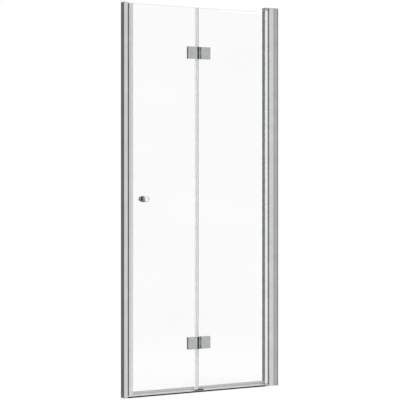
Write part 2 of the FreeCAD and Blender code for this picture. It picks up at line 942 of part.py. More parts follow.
def front_plate(side, centre):
    """Thick outer plate, its knuckles carried from behind on legs that run close over the glass."""
    y0 = -(half_glass + hinge_stand)
    y1 = -(half_glass + hinge_gasket)
    plate = rounded_plate(plate_span(side), y0, y1, centre, hinge_height)
    rim = [e for e in plate.Edges if e.CenterOfMass.y < y0 + 0.01]
    plate = plate.makeChamfer(0.5, rim)
    root = fold_x + side * (hinge_plate_gap / 2 + 0.5)
    leg = [
        (root, y1),
        (fold_x - side * hinge_leg_half, y1, 1.5),
        (fold_x - side * hinge_leg_half, fold_y + 3.0),
        (fold_x + side * hinge_leg_half, fold_y + 3.0),
        (fold_x + side * hinge_leg_half, y1 - hinge_leg, 1.0),
        (root, y1 - hinge_leg),
    ]
    pieces = [plate]
    for z0, z1 in knuckle_zones(side, centre):
        pieces.append(rod((fold_x, fold_y, z0), (0, 0, 1), barrel_radius, z1 - z0))
        pieces.append(upright(leg, z0, z1))
    body = fused(pieces)
    play = press_clearance if side > 0 else shaft_clearance
    cuts = [rod((fold_x, fold_y, centre - hinge_height), (0, 0, 1), hinge_pin_radius + play, 2 * hinge_height)]
    for z in hinge_screw_levels(centre):
        tapped = hinge_screw_radius + press_clearance
        cuts.append(rod((hinge_screw_x(side), y1 + 1, z), (0, -1, 0), tapped, hinge_screw_reach + 1.5))
    return body.cut(Part.makeCompound(cuts))


def hinge_pin(centre):
    half = hinge_height / 2 - 0.5
    pin = rod((fold_x, fold_y, centre - half), (0, 0, 1), hinge_pin_radius, 2 * half)
    return pin.makeChamfer(0.5, [e for e in pin.Edges if e.Curve.TypeId == "Part::GeomCircle"])


def hinge_pads(side):
    """Soft pads either side of the glass, the outer ones with collars that line the glass holes."""
    pads = []
    for centre in hinge_centres:
        for face, span, height in ((-1, plate_span(side), hinge_height), (1, back_span(side), hinge_back_height)):
            y0, y1 = sorted((face * half_glass, face * (half_glass + hinge_gasket)))
            pieces = [rounded_plate(span, y0, y1, centre, height)]
            holes = []
            for z in hinge_screw_levels(centre):
                collar = rod((hinge_screw_x(side), y0, z), (0, 1, 0), collar_radius, collar_length)
                pieces += [collar] if face < 0 else []
                holes.append(rod((hinge_screw_x(side), -10, z), (0, 1, 0), hinge_screw_radius + 0.2, 20))
            pads.append(fused(pieces).cut(Part.makeCompound(holes)))
    return Part.makeCompound(pads)


def back_plate(side, centre):
    """Smaller plate on the shower side, hidden behind the front one, countersunk for the screws."""
    y0 = half_glass + hinge_gasket
    y1 = y0 + hinge_back_thickness
    plate = rounded_plate(back_span(side), y0, y1, centre, hinge_back_height)
    plate = plate.makeChamfer(0.5, [e for e in plate.Edges if e.CenterOfMass.y > y1 - 0.01])
    cuts = []
    for z in hinge_screw_levels(centre):
        shank = hinge_screw_radius + press_clearance
        cuts.append(rod((hinge_screw_x(side), y0 - 1, z), (0, 1, 0), shank, hinge_back_thickness + 2))
        cuts.append(countersink(side, y1, z, press_clearance))
    return plate.cut(Part.makeCompound(cuts))


def countersink(side, y1, z, play):
    depth = hinge_screw_head_radius - hinge_screw_radius
    return Part.makeCone(
        hinge_screw_radius + play,
        hinge_screw_head_radius + play,
        depth,
        FreeCAD.Vector(hinge_screw_x(side), y1 - depth, z),
        FreeCAD.Vector(0, 1, 0),
    )


def hinge_screws(side):
    """Countersunk screws from the back plates, through the glass, into the front plates."""
    y1 = half_glass + hinge_gasket + hinge_back_thickness
    start = -(half_glass + hinge_gasket + hinge_screw_reach)
    screws = []
    for centre in hinge_centres:
        for z in hinge_screw_levels(centre):
            shank = rod((hinge_screw_x(side), start, z), (0, 1, 0), hinge_screw_radius, y1 - start)
            socket = hex_socket((hinge_screw_x(side), y1 - 1.8, z), (0, 1, 0), hinge_screw_key, 3)
            screws.append(shank.fuse(countersink(side, y1, z, 0)).cut(socket).removeSplitter())
    return Part.makeCompound(screws)


# ---- knob ----


def knob_profile():
    """Half section of the knob as (radius, distance from the glass plane), with the middle of its rim arc."""
    base = half_glass + knob_washer
    end = base + knob_length
    bore = knob_stud_radius + press_clearance
    turn = knob_rim * math.cos(math.radians(45))
    drum = [
        (bore, base),
        (knob_radius - 4.0, base),
        (knob_radius - 4.0, base + 2.5),
        (knob_radius - 1.0, base + 4.5),
        (knob_radius, base + 5.5),
        (knob_radius, end - knob_rim),
    ]
    end_face = [
        (knob_radius - knob_rim, end),
        (knob_recess_radius, end),
        (knob_recess_radius - knob_recess / 2, end - knob_recess),
        (0, end - knob_recess),
        (0, base + knob_bore),
        (bore, base + knob_bore),
        drum[0],
    ]
    return drum, (knob_radius - knob_rim + turn, end - knob_rim + turn), end_face


def knob(face):
    """Round knob: short neck at the glass, full drum, eased rim, shallow recess turned in its end."""
    drum, rim, end_face = knob_profile()

    def spot(place):
        return FreeCAD.Vector(knob_x() + place[0], face * place[1], knob_height)

    edges = chain([spot(place) for place in drum]) + chain([spot(place) for place in end_face])
    edges.append(Part.Arc(spot(drum[-1]), spot(rim), spot(end_face[0])).toShape())
    outline = Part.Face(Part.Wire(Part.__sortEdges__(edges)))
    return outline.revolve(spot((0, 0)), FreeCAD.Vector(0, 1, 0), 360)


def outer_knob():
    return knob(-1)


def inner_knob():
    return knob(1)


def knob_stud():
    reach = half_glass + knob_washer + knob_bore - 0.5
    return rod((knob_x(), -reach, knob_height), (0, 1, 0), knob_stud_radius, 2 * reach)


def knob_washers():
    rings = []
    for face in (-1, 1):
        ring = rod((knob_x(), face * half_glass, knob_height), (0, face, 0), knob_radius - 4.5, knob_washer)
        hole = rod((knob_x(), -20, knob_height), (0, 1, 0), knob_stud_radius + 0.2, 40)
        rings.append(ring.cut(hole))
    return Part.makeCompound(rings)


def knob_sleeve():
    half = half_glass - 0.2
    tube = rod((knob_x(), -half, knob_height), (0, 1, 0), 5.8, 2 * half)
    return tube.cut(rod((knob_x(), -half - 1, knob_height), (0, 1, 0), knob_stud_radius + 0.1, 2 * half + 2))


def all_parts():
    parts = {
        "strike_wall_channel": strike_wall_channel(),
        "strike_inner_profile": strike_inner_profile(),
        "strike_magnet_strip": strike_magnet_strip(),
        "strike_side_screws": strike_side_screws(),
        "strike_top_cap": strike_top_cap(),
        "strike_foot_plug": strike_foot_plug(),
        "pivot_wall_channel": pivot_wall_channel(),
        "pivot_inner_profile": pivot_inner_profile(),
        "pivot_side_screws": pivot_side_screws(),
        "pivot_top_cap": pivot_top_cap(),
        "pivot_gap_seal": pivot_gap_seal(),
        "bottom_bearing_block": bottom_bearing_block(),
        "top_bearing_block": top_bearing_block(),
        "bearing_block_screws": bearing_block_screws(),
        "bottom_pivot_pin": bottom_pivot_pin(),
        "top_pivot_pin": top_pivot_pin(),
        "threshold_bar": threshold_bar(),
        "threshold_tape": threshold_tape(),
        "joint_rubber_pad": joint_rubber_pad(),
        "wall_leaf_glass": wall_leaf_glass(),
        "wall_leaf_drip_seal": wall_leaf_drip_seal(),
        "clamp_profile": clamp_profile(),
        "clamp_gasket": clamp_gasket(),
        "clamp_pressure_strip": clamp_pressure_strip(),
        "clamp_set_screws": clamp_set_screws(),
        "pivot_bushings": pivot_bushings(),
        "knob_leaf_glass": knob_leaf_glass(),
        "knob_leaf_drip_seal": knob_leaf_drip_seal(),
        "edge_seal": edge_seal(),
        "edge_seal_magnet": edge_seal_magnet(),
        "outer_knob": outer_knob(),
        "inner_knob": inner_knob(),
        "knob_stud": knob_stud(),
        "knob_washers": knob_washers(),
        "knob_sleeve": knob_sleeve(),
    }
    for name, (z0, z1) in centre_seal_spans().items():
        parts[name] = centre_seal(z0, z1)
    for leaf, side in (("knob_leaf", -1), ("wall_leaf", 1)):
        parts[leaf + "_hinge_pads"] = hinge_pads(side)
        parts[leaf + "_hinge_screws"] = hinge_screws(side)
        for level, centre in zip(("lower", "upper"), hinge_centres):
            parts[leaf + "_hinge_" + level] = front_plate(side, centre)
            parts[leaf + "_hinge_" + level + "_back"] = back_plate(side, centre)
    for level, centre in zip(("lower", "upper"), hinge_centres):
        parts["hinge_pin_" + level] = hinge_pin(centre)
    return parts


os.makedirs("parts", exist_ok=True)
for name, shape in all_parts().items():
    shape.exportStep("parts/" + name + ".step")
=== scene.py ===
import json
import math

import bmesh
import bpy
import numpy as np
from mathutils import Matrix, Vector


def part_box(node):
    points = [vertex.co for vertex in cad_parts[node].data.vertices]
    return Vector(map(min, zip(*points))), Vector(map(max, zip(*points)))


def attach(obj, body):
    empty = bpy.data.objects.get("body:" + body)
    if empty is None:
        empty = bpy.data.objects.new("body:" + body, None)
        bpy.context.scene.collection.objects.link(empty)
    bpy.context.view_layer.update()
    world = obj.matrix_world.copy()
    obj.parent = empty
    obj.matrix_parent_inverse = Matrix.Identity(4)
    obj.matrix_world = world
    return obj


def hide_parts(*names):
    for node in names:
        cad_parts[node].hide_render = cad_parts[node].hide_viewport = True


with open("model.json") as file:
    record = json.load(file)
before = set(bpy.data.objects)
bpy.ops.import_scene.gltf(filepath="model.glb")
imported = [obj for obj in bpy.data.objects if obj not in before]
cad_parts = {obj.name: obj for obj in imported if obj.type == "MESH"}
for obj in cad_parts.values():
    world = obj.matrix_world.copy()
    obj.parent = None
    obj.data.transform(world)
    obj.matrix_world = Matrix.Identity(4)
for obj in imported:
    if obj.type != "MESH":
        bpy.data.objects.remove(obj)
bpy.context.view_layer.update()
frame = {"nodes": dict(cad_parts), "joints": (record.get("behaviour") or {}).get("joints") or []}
cad = frame["nodes"]
print("solids loaded:", len(cad))

mm = 0.001


def linearColour(hexText):
    # sRGB hex to linear: c / 12.92 below 0.04045, else ((c + 0.055) / 1.055) to the power 2.4
    parts = [int(hexText[i:i + 2], 16) / 255 for i in (1, 3, 5)]
    return tuple(c / 12.92 if c <= 0.04045 else ((c + 0.055) / 1.055) ** 2.4 for c in parts) + (1.0,)


def addNode(tree, kind, settings={}, links={}):
    # a key that is a number or names an input sets that input, stops fills a colour ramp, and any other key
    # is a property of the node. A link comes from an output, or from the first output of a node
    node = tree.nodes.new(kind)
    for key, value in settings.items():
        if key == "stops":
            ramp, places = node.color_ramp.elements, sorted(value)
            ramp[0].position, ramp[-1].position = places[0], places[-1]
            for place in places[1:-1]:
                ramp.new(place)
            for stop, place in zip(ramp, places):
                stop.color = value[place]
        elif isinstance(key, int) or key in node.inputs:
            node.inputs[key].default_value = value
        else:
            setattr(node, key, value)
    for key, source in links.items():
        tree.links.new(getattr(source, "outputs", [source])[0], node.inputs[key])
    return node


def newMaterial(name):
    # an empty material with its output node, and the place of each point in metres
    material = bpy.data.materials.new(name)
    material.use_nodes = True
    tree = material.node_tree
    tree.nodes.clear()
    end = addNode(tree, "ShaderNodeOutputMaterial")
    spot = addNode(tree, "ShaderNodeTexCoord").outputs["Object"]
    return material, tree, spot, end.inputs["Surface"]


noiseLow, noiseHigh = 0.3, 0.7   # noise lies mostly between these


def twoTones(darker, lighter):
    # that span of noise goes from the darker colour to the lighter one
    return {"stops": {noiseLow: linearColour(darker), noiseHigh: linearColour(lighter)}}


def noiseSpan(low, high):
    # the same span of noise goes from the low value to the high one
    return {"From Min": noiseLow, "From Max": noiseHigh, "To Min": low, "To Max": high}


extrusion = {
    "dieLine": 0.9 * mm,       # the real ones are 0.1 to 0.3 mm apart, drawn coarser so that they show
    "lineLength": 400 * mm,
    "lines": {"Scale": 1.0, "Detail": 2.0, "Roughness": 0.55},
    "patch": {"Scale": 1 / (70 * mm), "Detail": 4.0, "Roughness": 0.55},
    # the bath leaves a grain under 0.1 mm, drawn coarser so that it shows
    "grain": {"Scale": 1 / (1.1 * mm), "Detail": 2.0, "Roughness": 0.55},
    "lineShare": 0.35,         # of the change of tone, and the patches have the rest
    "ridges": {"Strength": 0.6, "Distance": 0.02 * mm},
    "relief": {"Strength": 0.5, "Distance": 0.004 * mm},
}


def anodisedExtrusion(name, darker, lighter, smooth, dull):
    # satin anodised aluminium, drawn through a die and standing upright: faint straight lines along the
    # length, a soft long sheen across it, and slow changes of tone where the anodising bath was uneven
    material, tree, spot, surface = newMaterial(name)
    fine, long = 1 / extrusion["dieLine"], 1 / extrusion["lineLength"]
    drawn = addNode(tree, "ShaderNodeMapping", {"Scale": (fine, fine, long)}, {"Vector": spot})
    lines = addNode(tree, "ShaderNodeTexNoise", extrusion["lines"], {"Vector": drawn})
    patch = addNode(tree, "ShaderNodeTexNoise", extrusion["patch"], {"Vector": spot})
    grain = addNode(tree, "ShaderNodeTexNoise", extrusion["grain"], {"Vector": spot})
    share = extrusion["lineShare"]
    lineTone = addNode(tree, "ShaderNodeMath", {"operation": "MULTIPLY", 1: share}, {0: lines})
    tone = addNode(tree, "ShaderNodeMath", {"operation": "MULTIPLY_ADD", 1: 1 - share},
                   {0: patch, 2: lineTone})
    colour = addNode(tree, "ShaderNodeValToRGB", twoTones(darker, lighter), {"Fac": tone})
    rough = addNode(tree, "ShaderNodeMapRange", noiseSpan(smooth, dull), {"Value": lines})
    ridges = addNode(tree, "ShaderNodeBump", extrusion["ridges"], {"Height": lines})
    relief = addNode(tree, "ShaderNodeBump", extrusion["relief"], {"Height": grain, "Normal": ridges})
    metal = addNode(tree, "ShaderNodeBsdfPrincipled", {"Metallic": 1.0},
                    {"Base Color": colour, "Roughness": rough, "Normal": relief})
    tree.links.new(metal.outputs[0], surface)
    return material


chromePlate = {
    "ripple": {"Scale": 1 / (9 * mm), "Detail": 1.0, "Roughness": 0.4},
    "cloud": {"Scale": 1 / (22 * mm), "Detail": 3.0, "Roughness": 0.55},
    "wiping": {"Scale": (1 / (11 * mm), 1 / (11 * mm), 1 / (33 * mm))},   # a cloth went up and down over it
    "wiped": {"Scale": 1.0, "Detail": 5.0, "Roughness": 0.7},
    "relief": {"Strength": 0.5, "Distance": 0.03 * mm},
}


def polishedChrome(name, darker, lighter, smooth, dull):
    # chrome plate over polished brass: mirror bright, with the faint ripple that polishing leaves and
    # wiped-off water marks
    material, tree, spot, surface = newMaterial(name)
    wiping = addNode(tree, "ShaderNodeMapping", chromePlate["wiping"], {"Vector": spot})
    wiped = addNode(tree, "ShaderNodeTexNoise", chromePlate["wiped"], {"Vector": wiping})
    ripple = addNode(tree, "ShaderNodeTexNoise", chromePlate["ripple"], {"Vector": spot})
    cloud = addNode(tree, "ShaderNodeTexNoise", chromePlate["cloud"], {"Vector": spot})
    colour = addNode(tree, "ShaderNodeValToRGB", twoTones(darker, lighter), {"Fac": cloud})
    rough = addNode(tree, "ShaderNodeMapRange", noiseSpan(smooth, dull), {"Value": wiped})
    relief = addNode(tree, "ShaderNodeBump", chromePlate["relief"], {"Height": ripple})
    metal = addNode(tree, "ShaderNodeBsdfPrincipled", {"Metallic": 1.0},
                    {"Base Color": colour, "Roughness": rough, "Normal": relief})
    tree.links.new(metal.outputs[0], surface)
    return material


stainless = {
    # marks of about 0.1 mm, drawn coarser so that they show
    "marks": {"Scale": 1 / (0.8 * mm), "Detail": 2.0, "Roughness": 0.55},
    "cloud": {"Scale": 1 / (4 * mm), "Detail": 3.0, "Roughness": 0.55},
    "smooth": 0.2, "dull": 0.38,
    "relief": {"Strength": 0.5, "Distance": 0.02 * mm},
}


def turnedStainless(name, darker, lighter):
    # A2 stainless screws, turned and tumbled: grey, with the fine marks of the tool and the drum
    material, tree, spot, surface = newMaterial(name)
    marks = addNode(tree, "ShaderNodeTexNoise", stainless["marks"], {"Vector": spot})
    cloud = addNode(tree, "ShaderNodeTexNoise", stainless["cloud"], {"Vector": spot})
    colour = addNode(tree, "ShaderNodeValToRGB", twoTones(darker, lighter), {"Fac": cloud})
    gloss = noiseSpan(stainless["smooth"], stainless["dull"])
    rough = addNode(tree, "ShaderNodeMapRange", gloss, {"Value": marks})
    relief = addNode(tree, "ShaderNodeBump", stainless["relief"], {"Height": marks})
    metal = addNode(tree, "ShaderNodeBsdfPrincipled", {"Metallic": 1.0},
                    {"Base Color": colour, "Roughness": rough, "Normal": relief})
    tree.links.new(metal.outputs[0], surface)
    return material


# painted shade: a black band on the lower front of the threshold, standing in for the shade along its foot
paintedShadeBand = {
    "tones": ("#0F0F10", "#19191A"), "roughness": 0.5, "shine": 0.25,
    # grain of about 0.1 mm, drawn coarser so that it shows
    "grain": {"Scale": 1 / (0.6 * mm), "Detail": 2.0, "Roughness": 0.55},
    "deep": 1.0 * mm,    # back from the foremost point of the threshold
    "top": 7.0 * mm,     # up from the floor
    "blend": 0.2 * mm,
}


def thresholdExtrusion(name, darker, lighter, smooth, dull, satinShare):
    # the same anodised aluminium lying along the width, with a black band of painted shade over the lower
    # part of its upright front.
    # The etched slope scatters more light than the profiles do: satinShare of it is metal, the rest is matt
    material, tree, spot, surface = newMaterial(name)
    fine, long = 1 / extrusion["dieLine"], 1 / extrusion["lineLength"]
    drawn = addNode(tree, "ShaderNodeMapping", {"Scale": (long, fine, fine)}, {"Vector": spot})
    lines = addNode(tree, "ShaderNodeTexNoise", extrusion["lines"], {"Vector": drawn})
    patch = addNode(tree, "ShaderNodeTexNoise", extrusion["patch"], {"Vector": spot})
    grain = addNode(tree, "ShaderNodeTexNoise", paintedShadeBand["grain"], {"Vector": spot})
    bright = addNode(tree, "ShaderNodeValToRGB", twoTones(darker, lighter), {"Fac": patch})
    black = addNode(tree, "ShaderNodeValToRGB", twoTones(*paintedShadeBand["tones"]), {"Fac": grain})
    place = addNode(tree, "ShaderNodeSeparateXYZ", {}, {0: spot}).outputs
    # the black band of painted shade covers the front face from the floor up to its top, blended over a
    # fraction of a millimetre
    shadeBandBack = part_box("threshold_bar")[0].y + paintedShadeBand["deep"]
    shadeBandTop, blend = paintedShadeBand["top"], paintedShadeBand["blend"]
    inFront = addNode(tree, "ShaderNodeMapRange", {"From Min": shadeBandBack, "From Max": shadeBandBack - blend},
                      {"Value": place["Y"]})
    lowDown = addNode(tree, "ShaderNodeMapRange", {"From Min": shadeBandTop, "From Max": shadeBandTop - blend},
                      {"Value": place["Z"]})
    inShadeBand = addNode(tree, "ShaderNodeMath", {"operation": "MULTIPLY"}, {0: inFront, 1: lowDown})
    colour = addNode(tree, "ShaderNodeMix", {"data_type": "RGBA"}, {0: inShadeBand, 6: bright, 7: black})
    metallic = addNode(tree, "ShaderNodeMapRange", {"To Min": satinShare, "To Max": 0.0}, {"Value": inShadeBand})
    satin = addNode(tree, "ShaderNodeMapRange", noiseSpan(smooth, dull), {"Value": lines})
    rough = addNode(tree, "ShaderNodeMix", {"data_type": "FLOAT", 3: paintedShadeBand["roughness"]},
                    {0: inShadeBand, 2: satin})
    relief = addNode(tree, "ShaderNodeBump", extrusion["ridges"], {"Height": lines})
    metal = addNode(tree, "ShaderNodeBsdfPrincipled", {"Specular IOR Level": paintedShadeBand["shine"]},
                    {"Base Color": colour.outputs[2], "Metallic": metallic, "Roughness": rough,
                     "Normal": relief})
    tree.links.new(metal.outputs[0], surface)
    return material


glassLook = {
    "tones": ("#F9FAF9", "#FBFCFB"),   # iron in the melt tints clear float glass by a few hundredths
    # faint waves from the rollers of the toughening oven, about 260 mm apart
    "rolled": {"Scale": (1 / (740 * mm), 1 / (260 * mm), 1 / (260 * mm))},
    "waves": {"Scale": 1.0, "Detail": 1.0, "Roughness": 0.3},
    "relief": {"Strength": 0.3, "Distance": 0.05 * mm},
    "body": {"Roughness": 0.0, "IOR": 1.52, "Transmission Weight": 1.0},
    "shade": "#F5F6F5",                # what a pane leaves of the lamps' light
}


def toughenedGlass(name):
    # clear float glass, toughened: almost unseen face on and a weak mirror at a slant, with slow roller waves
    material, tree, spot, surface = newMaterial(name)
    rolled = addNode(tree, "ShaderNodeMapping", glassLook["rolled"], {"Vector": spot})
    waves = addNode(tree, "ShaderNodeTexNoise", glassLook["waves"], {"Vector": rolled})
    tint = addNode(tree, "ShaderNodeValToRGB", twoTones(*glassLook["tones"]), {"Fac": waves})
    relief = addNode(tree, "ShaderNodeBump", glassLook["relief"], {"Height": waves})
    glass = addNode(tree, "ShaderNodeBsdfPrincipled", glassLook["body"],
                    {"Base Color": tint, "Normal": relief})
    through = addNode(tree, "ShaderNodeBsdfTransparent", {"Color": linearColour(glassLook["shade"])})
    path = addNode(tree, "ShaderNodeLightPath").outputs   # lamps reach what is behind the pane
    mixed = addNode(tree, "ShaderNodeMixShader", {}, {0: path["Is Shadow Ray"], 1: glass, 2: through})
    tree.links.new(mixed.outputs[0], surface)
    return material


pvcStrip = {
    "flowAcross": 1.4 * mm, "flowAlong": 330 * mm,
    "flow": {"Scale": 1.0, "Detail": 2.0, "Roughness": 0.55},
    "cloud": {"Scale": 1 / (18 * mm), "Detail": 4.0, "Roughness": 0.55},
    "uneven": 0.08,            # how far the roughness goes to either side
    "relief": {"Strength": 0.5, "Distance": 0.03 * mm},
    "bend": 1.53,              # index of refraction of soft PVC
}


def extrudedPvc(name, darker, lighter, rough, along, clearness=0.0):
    # soft PVC drawn as a strip: milky or clear, with flow lines along it and a slightly uneven gloss
    material, tree, spot, surface = newMaterial(name)
    fine, long = 1 / pvcStrip["flowAcross"], 1 / pvcStrip["flowAlong"]
    stretch = tuple(long if axis == along else fine for axis in "XYZ")
    drawn = addNode(tree, "ShaderNodeMapping", {"Scale": stretch}, {"Vector": spot})
    flow = addNode(tree, "ShaderNodeTexNoise", pvcStrip["flow"], {"Vector": drawn})
    cloud = addNode(tree, "ShaderNodeTexNoise", pvcStrip["cloud"], {"Vector": spot})
    colour = addNode(tree, "ShaderNodeValToRGB", twoTones(darker, lighter), {"Fac": cloud})
    uneven = pvcStrip["uneven"]
    gloss = addNode(tree, "ShaderNodeMapRange", noiseSpan(rough - uneven, rough + uneven), {"Value": flow})
    relief = addNode(tree, "ShaderNodeBump", pvcStrip["relief"], {"Height": flow})
    body = {"IOR": pvcStrip["bend"], "Transmission Weight": clearness}
    plastic = addNode(tree, "ShaderNodeBsdfPrincipled", body,
                      {"Base Color": colour, "Roughness": gloss, "Normal": relief})
    tree.links.new(plastic.outputs[0], surface)
    return material


jointSeal = {
    "tones": ("#D4D6D6", "#E2E4E4"), "roughness": 0.22,
    "clipSolid": 0.08, "finSolid": 0.38,   # share of the light that each wall stops
    "weld": 3.5 * mm, "blend": 0.6 * mm,   # where fin meets clip, beyond the edge of the glass, and how wide
}


def clipAndFin(name):
    # one strip of two plastics drawn together: a clear hard clip on the glass and a milky soft fin beyond its
    # end. The share of light that a wall stops rises from the clip's to the fin's along X, over the blend
    material = extrudedPvc(name, *jointSeal["tones"], jointSeal["roughness"], "Z")
    tree = material.node_tree
    spot = addNode(tree, "ShaderNodeTexCoord").outputs["Object"]
    place = addNode(tree, "ShaderNodeSeparateXYZ", {}, {0: spot}).outputs
    weld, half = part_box("knob_leaf_glass")[1].x + jointSeal["weld"], jointSeal["blend"] / 2
    rises = {"From Min": weld - half, "From Max": weld + half,
             "To Min": jointSeal["clipSolid"], "To Max": jointSeal["finSolid"]}
    solid = addNode(tree, "ShaderNodeMapRange", rises, {"Value": place["X"]})
    tree.links.new(solid.outputs[0], tree.nodes["Principled BSDF"].inputs["Alpha"])
    return material


fineGrain = {
    "grain": {"Detail": 3.0, "Roughness": 0.6},
    "cloud": {"Scale": 1 / (25 * mm), "Detail": 3.0, "Roughness": 0.55},
    "uneven": 0.07,            # how far the roughness goes to either side
    "strength": 0.7,
}


def fineGrained(name, darker, lighter, rough, grainSize, depth, bend=1.5):
    # an even colour with slow clouds under a fine matt grain: a spark-eroded mould leaves it on nylon and
    # rubber, and the grinding belt on the edge of a pane. Bend is the index of refraction
    material, tree, spot, surface = newMaterial(name)
    sized = {**fineGrain["grain"], "Scale": 1 / grainSize}
    grain = addNode(tree, "ShaderNodeTexNoise", sized, {"Vector": spot})
    cloud = addNode(tree, "ShaderNodeTexNoise", fineGrain["cloud"], {"Vector": spot})
    colour = addNode(tree, "ShaderNodeValToRGB", twoTones(darker, lighter), {"Fac": cloud})
    uneven = fineGrain["uneven"]
    gloss = addNode(tree, "ShaderNodeMapRange", noiseSpan(rough - uneven, rough + uneven), {"Value": grain})
    pits = {"Strength": fineGrain["strength"], "Distance": depth}
    relief = addNode(tree, "ShaderNodeBump", pits, {"Height": grain})
    plastic = addNode(tree, "ShaderNodeBsdfPrincipled", {"IOR": bend},
                      {"Base Color": colour, "Roughness": gloss, "Normal": relief})
    tree.links.new(plastic.outputs[0], surface)
    return material


foamTape = {
    "deep": "#B9BAB6", "skin": "#DEDEDA", "roughness": 0.9,
    "cells": {"Scale": 1 / (1.0 * mm)},
    "relief": {"Strength": 1.0, "Distance": 0.2 * mm},
}


def closedCellFoam(name):
    # polyethylene foam tape: pale and matt, with cells of about a millimetre
    material, tree, spot, surface = newMaterial(name)
    cells = addNode(tree, "ShaderNodeTexVoronoi", foamTape["cells"], {"Vector": spot}).outputs["Distance"]
    tones = {"stops": {0.0: linearColour(foamTape["deep"]), 1.0: linearColour(foamTape["skin"])}}
    colour = addNode(tree, "ShaderNodeValToRGB", tones, {"Fac": cells})
    relief = addNode(tree, "ShaderNodeBump", foamTape["relief"], {"Height": cells})
    foam = addNode(tree, "ShaderNodeBsdfPrincipled", {"Roughness": foamTape["roughness"]},
                   {"Base Color": colour, "Normal": relief})
    tree.links.new(foam.outputs[0], surface)
    return material


# darker and lighter tone, then the roughness where the metal is smooth and where it's dull
strikeChannelSatin = anodisedExtrusion("strike channel satin anodised", "#CECFD0", "#DCDDDE", 0.20, 0.30)
innerProfileSatin = anodisedExtrusion("inner profile satin anodised", "#CACBCC", "#DADBDC", 0.20, 0.30)
pivotChannelSatin = anodisedExtrusion("pivot channel satin anodised", "#AAABAC", "#BABBBC", 0.26, 0.36)
clampBright = anodisedExtrusion("clamp profile bright anodised", "#E7E8E9", "#F2F3F4", 0.16, 0.24)
# the threshold's material carries the black band of painted shade on its lower front
thresholdSatin = thresholdExtrusion("threshold satin anodised", "#EFF0F0", "#F9F9FA", 0.40, 0.50, 0.6)
castChrome = polishedChrome("chrome on cast brass", "#AFB0B1", "#BBBCBD", 0.07, 0.15)
knobChrome = polishedChrome("chrome on turned brass", "#EEEFF0", "#F7F8F9", 0.05, 0.11)
screwSteel = turnedStainless("turned stainless steel", "#A3A5A7", "#C6C8CA")
paneGlass = toughenedGlass("toughened clear float glass")
# painted light: the upright milky PVC gets lighter tones than the lying one, to make up for the shade on the
# edge seal
milkyPvcPaintedLighter = extrudedPvc("milky extruded PVC upright", "#F2F3F3", "#FAFBFB", 0.32, "Z", clearness=0.05)
lyingPvc = extrudedPvc("milky extruded PVC lying", "#DADBDB", "#E6E7E7", 0.32, "X", clearness=0.2)
magnetPvc = extrudedPvc("magnet filled PVC", "#1F2021", "#2C2D2E", 0.5, "Z")
clipFinPvc = clipAndFin("clear PVC clip with milky fin")
# darker and lighter tone, roughness, then the spacing of the grain and how deep it goes. The real grain is
# about a tenth of a millimetre, drawn coarser so that it shows
groundGlass = fineGrained("glass edge ground and seamed", "#F4FAF7", "#FBFEFC", 0.5, 0.5 * mm, 0.02 * mm,
                          bend=1.52)
wedgeRubber = fineGrained("grey glazing wedge rubber", "#8A8B8C", "#9A9B9C", 0.55, 0.9 * mm, 0.05 * mm)
padRubber = fineGrained("moulded EPDM rubber", "#2B2B2C", "#3A3A3B", 0.62, 0.9 * mm, 0.06 * mm)
capNylon = fineGrained("moulded grey nylon", "#A6A8AA", "#B6B8BA", 0.42, 0.7 * mm, 0.03 * mm)
blockNylon = fineGrained("moulded silver acetal", "#B4B6B8", "#C4C6C8", 0.38, 0.7 * mm, 0.03 * mm)
washerNylon = fineGrained("moulded white nylon", "#DEDDD8", "#ECEBE6", 0.4, 0.8 * mm, 0.03 * mm)
tapeFoam = closedCellFoam("closed cell foam")
print("materials made:", len(bpy.data.materials))


def gridFaces(rows, columns, closedRows=False):
    # corners of every quad of a rows by columns grid. The last column is joined to the first, and so are the
    # rows where they are closed
    last = rows if closedRows else rows - 1
    a, b = (part.ravel() for part in np.meshgrid(np.arange(last), np.arange(columns), indexing="ij"))
    below, beside = (a + 1) % rows, (b + 1) % columns
    return np.stack([a * columns + b, a * columns + beside, below * columns + beside, below * columns + b], 1)


def joinSurfaces(parts):
    # puts several (points, faces) in one list, the corner numbers moved up by the points before them
    starts = np.cumsum([0] + [len(points) for points, _ in parts[:-1]])
    faces = [faces + start for (_, faces), start in zip(parts, starts)]
    return np.concatenate([points for points, _ in parts]), np.concatenate(faces)


meshing = {"merge": 0.001 * mm, "smallest": 0.0001 * mm, "crease": 32}   # crease in degrees


def makePiece(name, surface, material, body, stands=()):
    # closed mesh with poles merged and faces turned outwards, smooth except across edges sharper than crease.
    # Stands are the solids that it stands for
    points, faces = surface
    mesh = bpy.data.meshes.new(name)
    mesh.from_pydata(points.tolist(), [], faces.tolist())
    work = bmesh.new()
    work.from_mesh(mesh)
    bmesh.ops.remove_doubles(work, verts=work.verts, dist=meshing["merge"])
    bmesh.ops.dissolve_degenerate(work, edges=work.edges, dist=meshing["smallest"])
    bmesh.ops.recalc_face_normals(work, faces=work.faces)
    work.to_mesh(mesh)
    work.free()
    mesh.polygons.foreach_set("use_smooth", np.ones(len(mesh.polygons), bool))
    mesh.set_sharp_from_angle(angle=math.radians(meshing["crease"]))
    piece = bpy.data.objects.new(name, mesh)
    bpy.context.scene.collection.objects.link(piece)
    mesh.materials.append(material)
    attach(piece, body)
    if stands:
        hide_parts(*stands)


